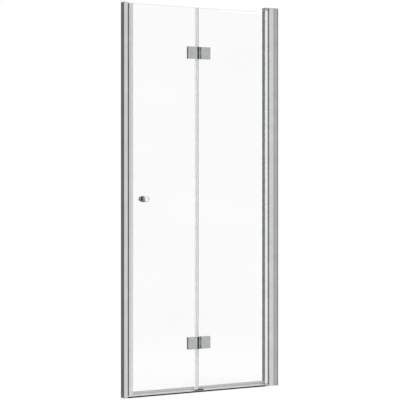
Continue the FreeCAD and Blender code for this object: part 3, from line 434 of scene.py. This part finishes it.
def turned(stations, centre, axis, around, outlines={}):
    # point = centre + height * axis + radius * (cos a * side + sin a * other), for each station (radius,
    # height) and angle a. Outlines gives a station another shape: a function of the angle that multiplies its
    # radius
    axis = np.array(axis, float)
    side = np.array((0, 0, 1.0)) if abs(axis[2]) < 0.9 else np.array((1.0, 0, 0))
    other = np.cross(axis, side)
    angle = np.linspace(0, 2 * np.pi, around, endpoint=False)
    stations = np.array(stations, float)
    radius = stations[:, :1] * np.ones((1, around))
    for row, shape in outlines.items():
        radius[row] = radius[row] * shape(angle)
    ring = np.cos(angle)[None, :, None] * side + np.sin(angle)[None, :, None] * other
    points = np.array(centre, float) + radius[:, :, None] * ring + stations[:, 1][:, None, None] * axis
    return points.reshape(-1, 3), gridFaces(len(stations), around)


def uprightBar(outline, bottom, top):
    # a closed outline in X and Y carried straight up from bottom to top, both ends closed on their middle
    outline = np.array(outline, float)
    middle = np.repeat(outline.mean(0)[None], len(outline), 0)
    flat = np.stack([middle, outline, outline, middle])
    height = np.array([bottom, bottom, top, top])[:, None, None] + np.zeros((4, len(outline), 1))
    return np.concatenate([flat, height], 2).reshape(-1, 3), gridFaces(4, len(outline))


groundEdge = {"arris": 0.5 * mm, "off": 0.03 * mm, "skin": 0.10 * mm}   # bevel, off the glass, thickness


def rimRound(node):
    # thin skin over the edge of a pane: its section runs arris, edge, arris at two distances off the glass,
    # and each of the four corners carries that section at 45 degrees,
    # point = corner + out * (sx, 0, sz) + across * (0, 1, 0)
    low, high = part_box(node)
    arris, half = groundEdge["arris"], high.y
    near, far = groundEdge["off"], groundEdge["off"] + groundEdge["skin"]
    # each row is a point (out, across) of the glass and the direction in which the skin lies off it
    line = np.array([(-arris, half, 0, 1), (0, half - arris, 1, 0),
                     (0, arris - half, 1, 0), (-arris, -half, 0, -1)])
    inner = line[:, :2] + near * line[:, 2:]
    outer = line[:, :2] + far * line[:, 2:]
    section = np.concatenate([inner, outer[::-1]])
    corners = np.array([(low.x, low.z, -1, -1), (high.x, low.z, 1, -1),
                        (high.x, high.z, 1, 1), (low.x, high.z, -1, 1)])
    out, across = section[:, 0][None], section[:, 1][None]
    x, z = corners[:, :1] + corners[:, 2:3] * out, corners[:, 1:2] + corners[:, 3:] * out
    points = np.stack([x, np.repeat(across, 4, 0), z], 2)
    return points.reshape(-1, 3), gridFaces(4, len(section), closedRows=True)


for leaf in ("knob_leaf", "wall_leaf"):
    makePiece(leaf + "GroundEdge", rimRound(leaf + "_glass"), groundGlass, leaf)
print("glass edges made")


gasketLip = {
    "reach": 7.3 * mm, "tuck": 0.9 * mm,   # both from the edge of the clamp profile
    "tip": 0.3 * mm, "root": 0.75 * mm,    # thickness at the feather edge and beside the profile
    "off": 0.05 * mm, "end": 0.4 * mm,     # clear of the glass, and above the drip seal
}


def featherLip(side):
    # thin wedge of the gasket's rubber that lies on the glass beside the clamp profile: one outline carried
    # straight up from above the drip seal to the top of the pane
    edge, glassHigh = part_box("clamp_profile")[0].x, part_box("wall_leaf_glass")[1]
    far, near = edge - gasketLip["reach"], edge - gasketLip["tuck"]
    low = glassHigh.y + gasketLip["off"]
    outline = [(far, low), (far, low + gasketLip["tip"]), (near, low + gasketLip["root"]), (near, low)]
    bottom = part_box("wall_leaf_drip_seal")[1].z + gasketLip["end"]
    return uprightBar([(x, side * y) for x, y in outline], bottom, glassHigh.z)


lips = joinSurfaces([featherLip(side) for side in (-1, 1)])
makePiece("clampGasketLips", lips, wedgeRubber, "wall_leaf")
print("gasket lips made")


knob = {
    "around": 128, "coveSteps": 9, "filletSteps": 5,
    # the collar is black rubber: partly a washer, partly painted shade round the neck under the drum
    "neck": 11.5 * mm, "neckEase": 0.3 * mm, "cove": 3.1 * mm, "coveShort": 0.1 * mm,   # dark collar
    "drumStart": 9.5 * mm, "drumEase": 0.25 * mm,   # from the middle of the glass, where collar and drum meet
    "rim": 2.2 * mm,
    # inwards and outwards in shares of the rim: a 45 degree bevel with both its corners broken
    "bevel": ((0, 0), (0.06, 0.14), (0.92, 0.98), (1.06, 1.0)),
    "recess": 11.2 * mm, "recessDeep": 3.0 * mm, "fillet": 0.35 * mm,
}
sleeveLow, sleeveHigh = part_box("knob_sleeve")
knobLow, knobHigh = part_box("inner_knob")
knobMiddle = ((sleeveLow.x + sleeveHigh.x) / 2, 0, (sleeveLow.z + sleeveHigh.z) / 2)
knobBase, knobEnd, knobRadius = knobLow.y, knobHigh.y, knobHigh.x - knobMiddle[0]


def collarStations():
    # (radius, height) of the black rubber collar, a washer whose black is also painted shade round the neck:
    # straight neck, then a cove neck + width * (1 - cos t), top - height * (1 - sin t) up to the drum
    t = np.linspace(0, np.pi / 2, knob["coveSteps"])
    neck, ease, top = knob["neck"], knob["neckEase"], knob["drumStart"]
    width = knobRadius - knob["coveShort"] - neck
    cove = np.stack([neck + width * (1 - np.cos(t)), top - knob["cove"] * (1 - np.sin(t))], 1)
    start = [(0, knobBase), (neck - ease, knobBase), (neck, knobBase + ease)]
    return np.concatenate([start, cove, [(0, top)]])


def drumStations():
    # (radius, height) of the drum: eased lower edge, straight side, wide 45 degree bevel with broken corners,
    # flat ring, step down through two quarter rounds of the fillet, flat floor of the recess. The upper round
    # is recess + fillet * (1 - sin t), end - fillet * (1 - cos t), and the lower one is
    # recess - fillet * (1 - cos t), floor + fillet * (1 - sin t)
    t = np.linspace(0, np.pi / 2, knob["filletSteps"])
    low, ease, recess, fillet = knob["drumStart"], knob["drumEase"], knob["recess"], knob["fillet"]
    start = [(0, low), (knobRadius - ease, low), (knobRadius, low + ease)]
    rim = np.array([knobRadius, knobEnd - knob["rim"]]) + np.array(knob["bevel"]) * knob["rim"] * (-1, 1)
    over = np.stack([recess + fillet * (1 - np.sin(t)), knobEnd - fillet * (1 - np.cos(t))], 1)
    floor = knobEnd - knob["recessDeep"]
    under = np.stack([recess - fillet * (1 - np.cos(t)), floor + fillet * (1 - np.sin(t))], 1)
    return np.concatenate([start, rim, over, under, [(recess / 2, floor), (0, floor)]])


for side, word in ((-1, "outer"), (1, "inner")):
    drum = turned(drumStations(), knobMiddle, (0, side, 0), knob["around"])
    collar = turned(collarStations(), knobMiddle, (0, side, 0), knob["around"])
    makePiece(word + "KnobDrum", drum, knobChrome, "knob_leaf", [word + "_knob"])
    # partly painted shade: the collar's black rubber also stands in for the shade round the knob's neck
    makePiece(word + "KnobCollar", collar, padRubber, "knob_leaf")
print("knobs made")


hinge = {
    "thick": 12 * mm, "corner": 1.2 * mm, "cornerSteps": 6,   # front plate, seen from the front
    "edge": 0.6 * mm, "edgeSteps": 5, "lap": 0.4 * mm,        # round of its front rim, and the flat beside it
    "backEase": 0.35 * mm,
    "leg": 2.5 * mm, "legHalf": 2.5 * mm,       # bar to the knuckle, thickness and half width
    "bend": 1.5 * mm, "throat": 1.0 * mm,       # outer and inner radius where it turns forward
    "rootIn": 0.5 * mm, "tipShort": 3.0 * mm,   # it starts inside the plate and ends short of the pin's axis
    "middle": 12 * mm, "gap": 0.4 * mm,         # half height of the middle knuckle, and the gap to the others
    "pinRoom": 0.02 * mm, "lip": 0.45 * mm,     # room round the pin, and round of the knuckle's rims
    "around": 48, "legSteps": 6, "lipSteps": 4,
}
hingeSides = {"knob_leaf": -1, "wall_leaf": 1}
foldX, foldY, _ = next(joint["pos_m"] for joint in frame["joints"] if joint["name"] == "leaf_fold")
plateLow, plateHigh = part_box("knob_leaf_hinge_lower")
pinLow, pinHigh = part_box("hinge_pin_lower")
hingeLevels = {}
for word in ("lower", "upper"):
    low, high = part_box("knob_leaf_hinge_" + word)
    hingeLevels[word] = (low.z + high.z) / 2
plateNear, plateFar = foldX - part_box("knob_leaf_hinge_pads")[1].x, foldX - plateLow.x
plateBack, plateHalf = plateHigh.y, (plateHigh.z - plateLow.z) / 2
barrelRadius = plateHigh.x - foldX
boreRadius = (pinHigh.x - pinLow.x) / 2 + hinge["pinRoom"]


def plateSlab(left, right, level):
    # rounded rectangles in the plane of the glass, one ring for each depth y from the back to the front. The
    # points of a ring are the centre of a corner + radius * (cos a, sin a), a quarter turn for each corner.
    # Towards the front the rings are moved inwards by edge * (1 - cos t) while they rise by edge * sin t, and
    # the first and last ring close on the middle
    ease, edge, steps = hinge["backEase"], hinge["edge"], hinge["cornerSteps"]
    front = plateBack - hinge["thick"]
    t = np.linspace(0, np.pi / 2, hinge["edgeSteps"])
    inset = np.concatenate([[0, ease, 0], edge * (1 - np.cos(t)), [edge + hinge["lap"], 0]])[:, None]
    rim = front + edge * (1 - np.sin(t))
    y = np.concatenate([[plateBack, plateBack, plateBack - ease], rim, [front, front]])
    size = np.ones((len(inset), 1))
    size[[0, -1]] = 0
    angle = (np.arange(4)[:, None] * np.pi / 2 + np.linspace(0, np.pi / 2, steps)).ravel()
    signX, signZ = np.repeat((1, -1, -1, 1), steps), np.repeat((1, 1, -1, -1), steps)
    radius = np.maximum(hinge["corner"] - inset, 0)
    halfWidth, halfHeight = (right - left) / 2 - inset - radius, plateHalf - inset - radius
    x = (left + right) / 2 + size * (signX * halfWidth + radius * np.cos(angle))
    z = level + size * (signZ * halfHeight + radius * np.sin(angle))
    return np.stack([x, y[:, None] + 0 * x, z], 2).reshape(-1, 3), gridFaces(len(inset), len(angle))


def knuckle(low, high):
    # tube round the hinge axis, its outer rims eased by a quarter round: radius - lip * (1 - cos t), and
    # height - lip * (1 - sin t) up to the end
    lip = hinge["lip"]
    t = np.linspace(0, np.pi / 2, hinge["lipSteps"])
    lower = np.stack([barrelRadius - lip * (1 - np.sin(t)), low + lip * (1 - np.cos(t))], 1)
    upper = np.stack([barrelRadius - lip * (1 - np.cos(t)), high - lip * (1 - np.sin(t))], 1)
    stations = np.concatenate([[(boreRadius, low)], lower, upper, [(boreRadius, high)]])
    points, _ = turned(stations, (foldX, foldY, 0), (0, 0, 1), hinge["around"])
    return points, gridFaces(len(stations), hinge["around"], closedRows=True)


def bentLeg(side, low, high):
    # bar that runs in over the glass and turns forward into the knuckle. Its outer and inner line each follow
    # middle + radius * (-side * sin t, cos t) round the bend, and a rectangle spanned by the two lines is
    # carried along them
    root = foldX + side * (plateNear + hinge["rootIn"])
    half = side * hinge["legHalf"]
    t = np.linspace(0, np.pi / 2, hinge["legSteps"])
    turn = np.stack([-side * np.sin(t), np.cos(t)], 1)
    lines = []
    for x, y, radius in ((foldX - half, plateBack, hinge["bend"]),
                         (foldX + half, plateBack - hinge["leg"], hinge["throat"])):
        middle = np.array([x + side * radius, y - radius])
        lines.append(np.concatenate([[(root, y)], middle + radius * turn, [(x, foldY + hinge["tipShort"])]]))
    outer, inner = lines
    corners = ((outer, low), (outer, high), (inner, high), (inner, low))
    rings = np.stack([np.insert(line, 2, z, 1) for line, z in corners], 1)
    ends = [np.repeat(ring.mean(0)[None], 4, 0)[None] for ring in (rings[0], rings[-1])]
    rings = np.concatenate([ends[0], rings, ends[1]])
    return rings.reshape(-1, 3), gridFaces(len(rings), 4)


def frontPlate(side, level):
    # plate with eased edges beside the axis, and for each zone of height that this leaf's knuckles fill, the
    # knuckle and the leg that carries it: the knob leaf has the middle zone, the wall leaf the two outer ones
    left, right = sorted((foldX + side * plateNear, foldX + side * plateFar))
    parts = [plateSlab(left, right, level)]
    middle, gap = hinge["middle"], hinge["middle"] + hinge["gap"]
    if side < 0:
        zones = [(level - middle, level + middle)]
    else:
        zones = [(level - plateHalf, level - gap), (level + gap, level + plateHalf)]
    for low, high in zones:
        parts += [knuckle(low, high), bentLeg(side, low, high)]
    return joinSurfaces(parts)


for leaf, side in hingeSides.items():
    for word, level in hingeLevels.items():
        makePiece(leaf + "HingePlate_" + word, frontPlate(side, level), castChrome, leaf,
                  [leaf + "_hinge_" + word])
print("hinge plates made")


# painted shade: dark rubber strips put in the hinge gap where it lies in shadow
gapShadeStrip = {
    "tuck": 0.1 * mm, "near": 3.7 * mm,   # into the edge of the plate, and how near it comes to the axis
    "off": 1.0 * mm, "thick": 4.0 * mm,   # in front of the plate's back face, and from back to front
    "short": 0.4 * mm,                    # of the end of the plate
}


def gapShadeStrips():
    # rubber strips on the edge of the knob leaf's plates, behind the outer knuckles, whose black is painted
    # shade standing in for the shadow in the hinge gap: a rectangle carried straight up
    left, right = foldX - plateNear - gapShadeStrip["tuck"], foldX - gapShadeStrip["near"]
    back = plateBack - gapShadeStrip["off"]
    front = back - gapShadeStrip["thick"]
    outline = [(left, front), (right, front), (right, back), (left, back)]
    inner, outer = hinge["middle"] + hinge["gap"], plateHalf - gapShadeStrip["short"]
    strips = []
    for level in hingeLevels.values():
        for way in (-1, 1):
            bottom, top = sorted((level + way * inner, level + way * outer))
            strips.append(uprightBar(outline, bottom, top))
    return strips


# painted shade in the hinge gap, drawn in the pad rubber
makePiece("hingeGapBuffers", joinSurfaces(gapShadeStrips()), padRubber, "knob_leaf")
print("hinge buffers made")


socketScrews = {
    "head": 4.85 * mm, "cone": 2.5 * mm, "land": 0.25 * mm, "ease": 0.15 * mm,
    "shank": 2.5 * mm, "point": 0.3 * mm,
    "socket": 1.75 * mm, "mouth": 0.2 * mm, "deep": 1.8 * mm, "drillPoint": 0.4 * mm,
    "row": 16 * mm,   # above and below the middle of the plate
    "around": 48,
}


def hexagonShape(angle):
    # distance to the side of a hexagon over the distance to its corner: cos 30 / cos of the angle from the
    # middle of the nearest side
    return math.cos(math.pi / 6) / np.cos((angle % (math.pi / 3)) - math.pi / 6)


def countersunkScrew(x, z, yFace, yEnd):
    # (radius, y) from the end of the plain shank up the cone to a head flush with the plate, then down into
    # its hexagon socket
    head, shank, socket, mouth = (socketScrews[key] for key in ("head", "shank", "socket", "mouth"))
    point, floor = socketScrews["point"], yFace - socketScrews["deep"]
    bar = [(0, yEnd), (shank - point, yEnd), (shank, yEnd + point), (shank, yFace - socketScrews["cone"])]
    top = [(head, yFace - socketScrews["land"]), (head - socketScrews["ease"], yFace)]
    hexagon = [(socket + mouth, yFace), (socket, yFace - mouth), (socket, floor)]
    stations = bar + top + hexagon + [(0, floor - socketScrews["drillPoint"])]
    first = len(bar) + len(top)
    shapes = {row: hexagonShape for row in range(first, first + len(hexagon))}
    return turned(stations, (x, 0, z), (0, 1, 0), socketScrews["around"], shapes)


for leaf in hingeSides:
    low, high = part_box(leaf + "_hinge_screws")
    x = (low.x + high.x) / 2
    heads = [countersunkScrew(x, level + way * socketScrews["row"], high.y, low.y)
             for level in hingeLevels.values() for way in (-1, 1)]
    makePiece(leaf + "SocketScrews", joinSurfaces(heads), screwSteel, leaf,
              [leaf + "_hinge_screws"])


panScrews = {
    "head": 3.5 * mm, "high": 1.8 * mm, "land": 0.25 * mm, "dome": 62,   # the dome in degrees
    "shank": 1.9 * mm,
    "recess": 1.45 * mm, "floor": 1.1 * mm, "deep": 0.7 * mm, "pointDeep": 1.2 * mm,
    "slotHalf": 0.26,   # share of the recess's radius
    "around": 64, "domeSteps": 7,
}


def crossShape(angle):
    # cross of two wide slots: the radius is whole inside a slot, and beside it the slot's half width over the
    # sine of the angle from its middle
    fold = np.abs((angle + math.pi / 4) % (math.pi / 2) - math.pi / 4)
    return panScrews["slotHalf"] / np.maximum(np.sin(fold), panScrews["slotHalf"])


def panScrew(x, z, yFace, yEnd):
    # plain shank, then a low domed head with radius head * cos t at height high * sin t, and a cross recess
    # that tapers inwards
    head, high, land, shank = (panScrews[key] for key in ("head", "high", "land", "shank"))
    top = yFace + high
    t = np.linspace(0, math.radians(panScrews["dome"]), panScrews["domeSteps"])
    rise = (high - land) * np.sin(t) / math.sin(t[-1])
    dome = np.stack([head * np.cos(t), yFace + land + rise], 1).tolist()
    bar = [(0, yEnd), (shank, yEnd), (shank, yFace), (head, yFace)]
    recess = [(panScrews["recess"], top), (panScrews["floor"], top - panScrews["deep"])]
    stations = bar + dome + recess + [(0, top - panScrews["pointDeep"])]
    first = len(bar) + len(dome)
    shapes = {first: crossShape, first + 1: crossShape}
    return turned(stations, (x, 0, z), (0, 1, 0), panScrews["around"], shapes)


for word in ("strike", "pivot"):
    low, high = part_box(word + "_side_screws")
    x, middle = (low.x + high.x) / 2, (low.z + high.z) / 2
    pitch = (high.z - low.z) / 2 - panScrews["head"]
    heads = [panScrew(x, middle + n * pitch, high.y - panScrews["high"], low.y) for n in (-1, 0, 1)]
    makePiece(word + "PanScrews", joinSurfaces(heads), screwSteel, "frame_set",
              [word + "_side_screws"])
print("screws made")


# finish of each solid, and those that get none here are screws, pins and studs
finishes = {
    "strike_wall_channel": strikeChannelSatin, "strike_inner_profile": innerProfileSatin,
    "pivot_wall_channel": pivotChannelSatin, "pivot_inner_profile": innerProfileSatin,
    "clamp_profile": clampBright, "clamp_pressure_strip": innerProfileSatin, "threshold_bar": thresholdSatin,
    "bottom_bearing_block": blockNylon, "top_bearing_block": blockNylon,
    "strike_magnet_strip": magnetPvc, "edge_seal_magnet": magnetPvc,
    "strike_top_cap": capNylon, "strike_foot_plug": capNylon, "pivot_top_cap": capNylon,
    "joint_rubber_pad": padRubber, "threshold_tape": tapeFoam,
    "knob_leaf_glass": paneGlass, "wall_leaf_glass": paneGlass,
    "edge_seal": milkyPvcPaintedLighter, "centre_seal_lower": clipFinPvc, "centre_seal_middle": clipFinPvc,
    "centre_seal_upper": clipFinPvc, "clamp_gasket": wedgeRubber, "pivot_gap_seal": padRubber,
    "knob_leaf_drip_seal": lyingPvc, "wall_leaf_drip_seal": lyingPvc,
    "outer_knob": knobChrome, "inner_knob": knobChrome,
    "knob_washers": padRubber, "knob_sleeve": washerNylon, "pivot_bushings": washerNylon,
    "knob_leaf_hinge_pads": washerNylon, "wall_leaf_hinge_pads": washerNylon,
}
for leaf in hingeSides:
    for word in hingeLevels:
        finishes[leaf + "_hinge_" + word] = castChrome
        finishes[leaf + "_hinge_" + word + "_back"] = castChrome
for name, node in cad.items():
    node.data.materials.clear()
    node.data.materials.append(finishes.get(name, screwSteel))
print("solids dressed")


room = {
    "floorHalf": 14.0,
    "paint": ("#CBCBCB", "#CFCFCF"),
    "speckle": {"Scale": 1 / (4.5 * mm), "Detail": 4.0, "Roughness": 0.55},
    "glow": 0.49,                         # share of the floor's brightness that no shadow takes away
    "shadeFrom": 1.1, "shadeTo": 3.2,     # metres from the middle, over which the floor turns to plain white
    # how bright the room is along the horizon, by the angle from +X towards +Y: soft boxes in front and on
    # the pivot side of the back, and grey walls elsewhere that give polished sides their dark tone
    "walls": {-180: 0.16, -158: 0.22, -132: 0.56, -95: 0.80, -60: 0.97, -42: 0.90, -27: 0.60, -12: 0.30,
              14: 0.30, 40: 0.80, 64: 0.90, 84: 0.34, 104: 0.20, 122: 0.19, 150: 0.17, 180: 0.16},
    "wallTop": 0.35, "ceilingFrom": 0.95,   # sine of the height where walls turn to white ceiling
}


def paleFloor():
    # matt white paint: speckled diffuse plus a glow that lets only a soft shadow show, plain white far out
    material, tree, spot, surface = newMaterial("matt white painted floor")
    speckle = addNode(tree, "ShaderNodeTexNoise", room["speckle"], {"Vector": spot})
    colour = addNode(tree, "ShaderNodeValToRGB", twoTones(*room["paint"]), {"Fac": speckle})
    paint = addNode(tree, "ShaderNodeBsdfDiffuse", {}, {"Color": colour})
    path = addNode(tree, "ShaderNodeLightPath").outputs
    seen = addNode(tree, "ShaderNodeMath", {"operation": "MAXIMUM"},
                   {0: path["Is Camera Ray"], 1: path["Is Transmission Ray"]})
    near = addNode(tree, "ShaderNodeMath", {"operation": "MULTIPLY", 1: room["glow"]}, {0: seen})
    glow = addNode(tree, "ShaderNodeEmission", {}, {"Strength": near})
    both = addNode(tree, "ShaderNodeAddShader", {}, {0: paint, 1: glow})
    plain = addNode(tree, "ShaderNodeEmission", {}, {"Strength": seen})
    away = addNode(tree, "ShaderNodeVectorMath", {"operation": "LENGTH"}, {0: spot}).outputs["Value"]
    turnsPlain = {"interpolation_type": "SMOOTHSTEP",
                  "From Min": room["shadeFrom"], "From Max": room["shadeTo"]}
    far = addNode(tree, "ShaderNodeMapRange", turnsPlain, {"Value": away})
    shown = addNode(tree, "ShaderNodeMixShader", {}, {0: far, 1: both, 2: plain})
    mirrored = addNode(tree, "ShaderNodeMath", {"operation": "GREATER_THAN", 1: 0.5},
                       {0: path["Glossy Depth"]})
    gone = addNode(tree, "ShaderNodeBsdfTransparent")   # metal mirrors the walls of the room instead
    mixed = addNode(tree, "ShaderNodeMixShader", {}, {0: mirrored, 1: shown, 2: gone})
    tree.links.new(mixed.outputs[0], surface)
    half = room["floorHalf"]
    mesh = bpy.data.meshes.new("floorSheet")
    corners = [(-half, -half, 0), (half, -half, 0), (half, half, 0), (-half, half, 0)]
    mesh.from_pydata(corners, [], [(0, 1, 2, 3)])
    floor = bpy.data.objects.new("floorSheet", mesh)
    bpy.context.scene.collection.objects.link(floor)
    mesh.materials.append(material)


def softRoom():
    # white to the eye and straight through the glass, while mirrors and matt surfaces see the walls and the
    # ceiling
    world = bpy.data.worlds.new("softRoom")
    bpy.context.scene.world = world
    world.use_nodes = True
    tree = world.node_tree
    tree.nodes.clear()
    way = addNode(tree, "ShaderNodeTexCoord").outputs["Generated"]
    parts = addNode(tree, "ShaderNodeSeparateXYZ", {}, {0: way}).outputs
    angle = addNode(tree, "ShaderNodeMath", {"operation": "ARCTAN2"}, {0: parts["Y"], 1: parts["X"]})
    turn = addNode(tree, "ShaderNodeMapRange", {"From Min": -math.pi, "From Max": math.pi}, {"Value": angle})
    greys = {(degrees + 180) / 360: (level, level, level, 1.0) for degrees, level in room["walls"].items()}
    walls = addNode(tree, "ShaderNodeValToRGB", {"stops": greys}, {"Fac": turn})
    climbs = {"interpolation_type": "SMOOTHSTEP",
              "From Min": room["wallTop"], "From Max": room["ceilingFrom"]}
    rise = addNode(tree, "ShaderNodeMapRange", climbs, {"Value": parts["Z"]})
    level = addNode(tree, "ShaderNodeMix", {"data_type": "FLOAT", 3: 1.0}, {0: rise, 2: walls})
    path = addNode(tree, "ShaderNodeLightPath").outputs
    straight = addNode(tree, "ShaderNodeMath", {"operation": "LESS_THAN", 1: 0.5}, {0: path["Glossy Depth"]})
    through = addNode(tree, "ShaderNodeMath", {"operation": "MULTIPLY"},
                      {0: path["Is Transmission Ray"], 1: straight})
    seen = addNode(tree, "ShaderNodeMath", {"operation": "MAXIMUM"}, {0: path["Is Camera Ray"], 1: through})
    strength = addNode(tree, "ShaderNodeMix", {"data_type": "FLOAT", 3: 1.0}, {0: seen, 2: level})
    sky = addNode(tree, "ShaderNodeBackground", {"Color": (1, 1, 1, 1)}, {"Strength": strength})
    addNode(tree, "ShaderNodeOutputWorld", {}, {"Surface": sky})


lamps = {
    "key": {"place": (2.6, -3.6, 3.6), "size": 2.6, "watts": 34},     # in front on the right, from above
    "fill": {"place": (-4.3, -1.3, 1.6), "size": 2.4, "watts": 80},   # from the left, onto edges facing it
}
lampAim = (0, 0, 0.9)   # both look at the middle of the door


def softLamp(name, place, size, watts):
    # round soft box that looks at lampAim. It lights matt surfaces only, because mirrors see the room's walls
    lamp = bpy.data.lights.new(name, "AREA")
    lamp.shape = "DISK"
    lamp.size = size
    lamp.energy = watts
    holder = bpy.data.objects.new(name, lamp)
    holder.location = place
    way = np.array(lampAim, float) - np.array(place, float)
    flat = math.hypot(way[0], way[1])
    holder.rotation_euler = (math.atan2(flat, -way[2]), 0, math.atan2(-way[0], way[1]))
    holder.visible_glossy = False
    bpy.context.scene.collection.objects.link(holder)


camera = {
    "place": (-3.682, -6.234, 1.063), "turn": 30.5,   # degrees to the right of +Y
    "lens": 129.44, "sensor": 36, "shift": (-0.0007, -0.0497), "farthest": 60,
}


def placeCamera():
    # level camera, so that uprights stay upright: its height and the shift, and no tilt, frame the door
    lens = bpy.data.cameras.new("eye")
    lens.lens = camera["lens"]
    lens.sensor_width = camera["sensor"]
    lens.sensor_fit = "HORIZONTAL"
    lens.shift_x, lens.shift_y = camera["shift"]
    lens.clip_end = camera["farthest"]
    eye = bpy.data.objects.new("eye", lens)
    eye.location = camera["place"]
    eye.rotation_euler = (math.radians(90), 0, -math.radians(camera["turn"]))
    bpy.context.scene.collection.objects.link(eye)
    bpy.context.scene.camera = eye


paleFloor()
softRoom()
for name, lamp in lamps.items():
    softLamp(name, **lamp)
placeCamera()
bpy.context.scene.view_settings.view_transform = "Standard"
print("room, lamps and camera placed")
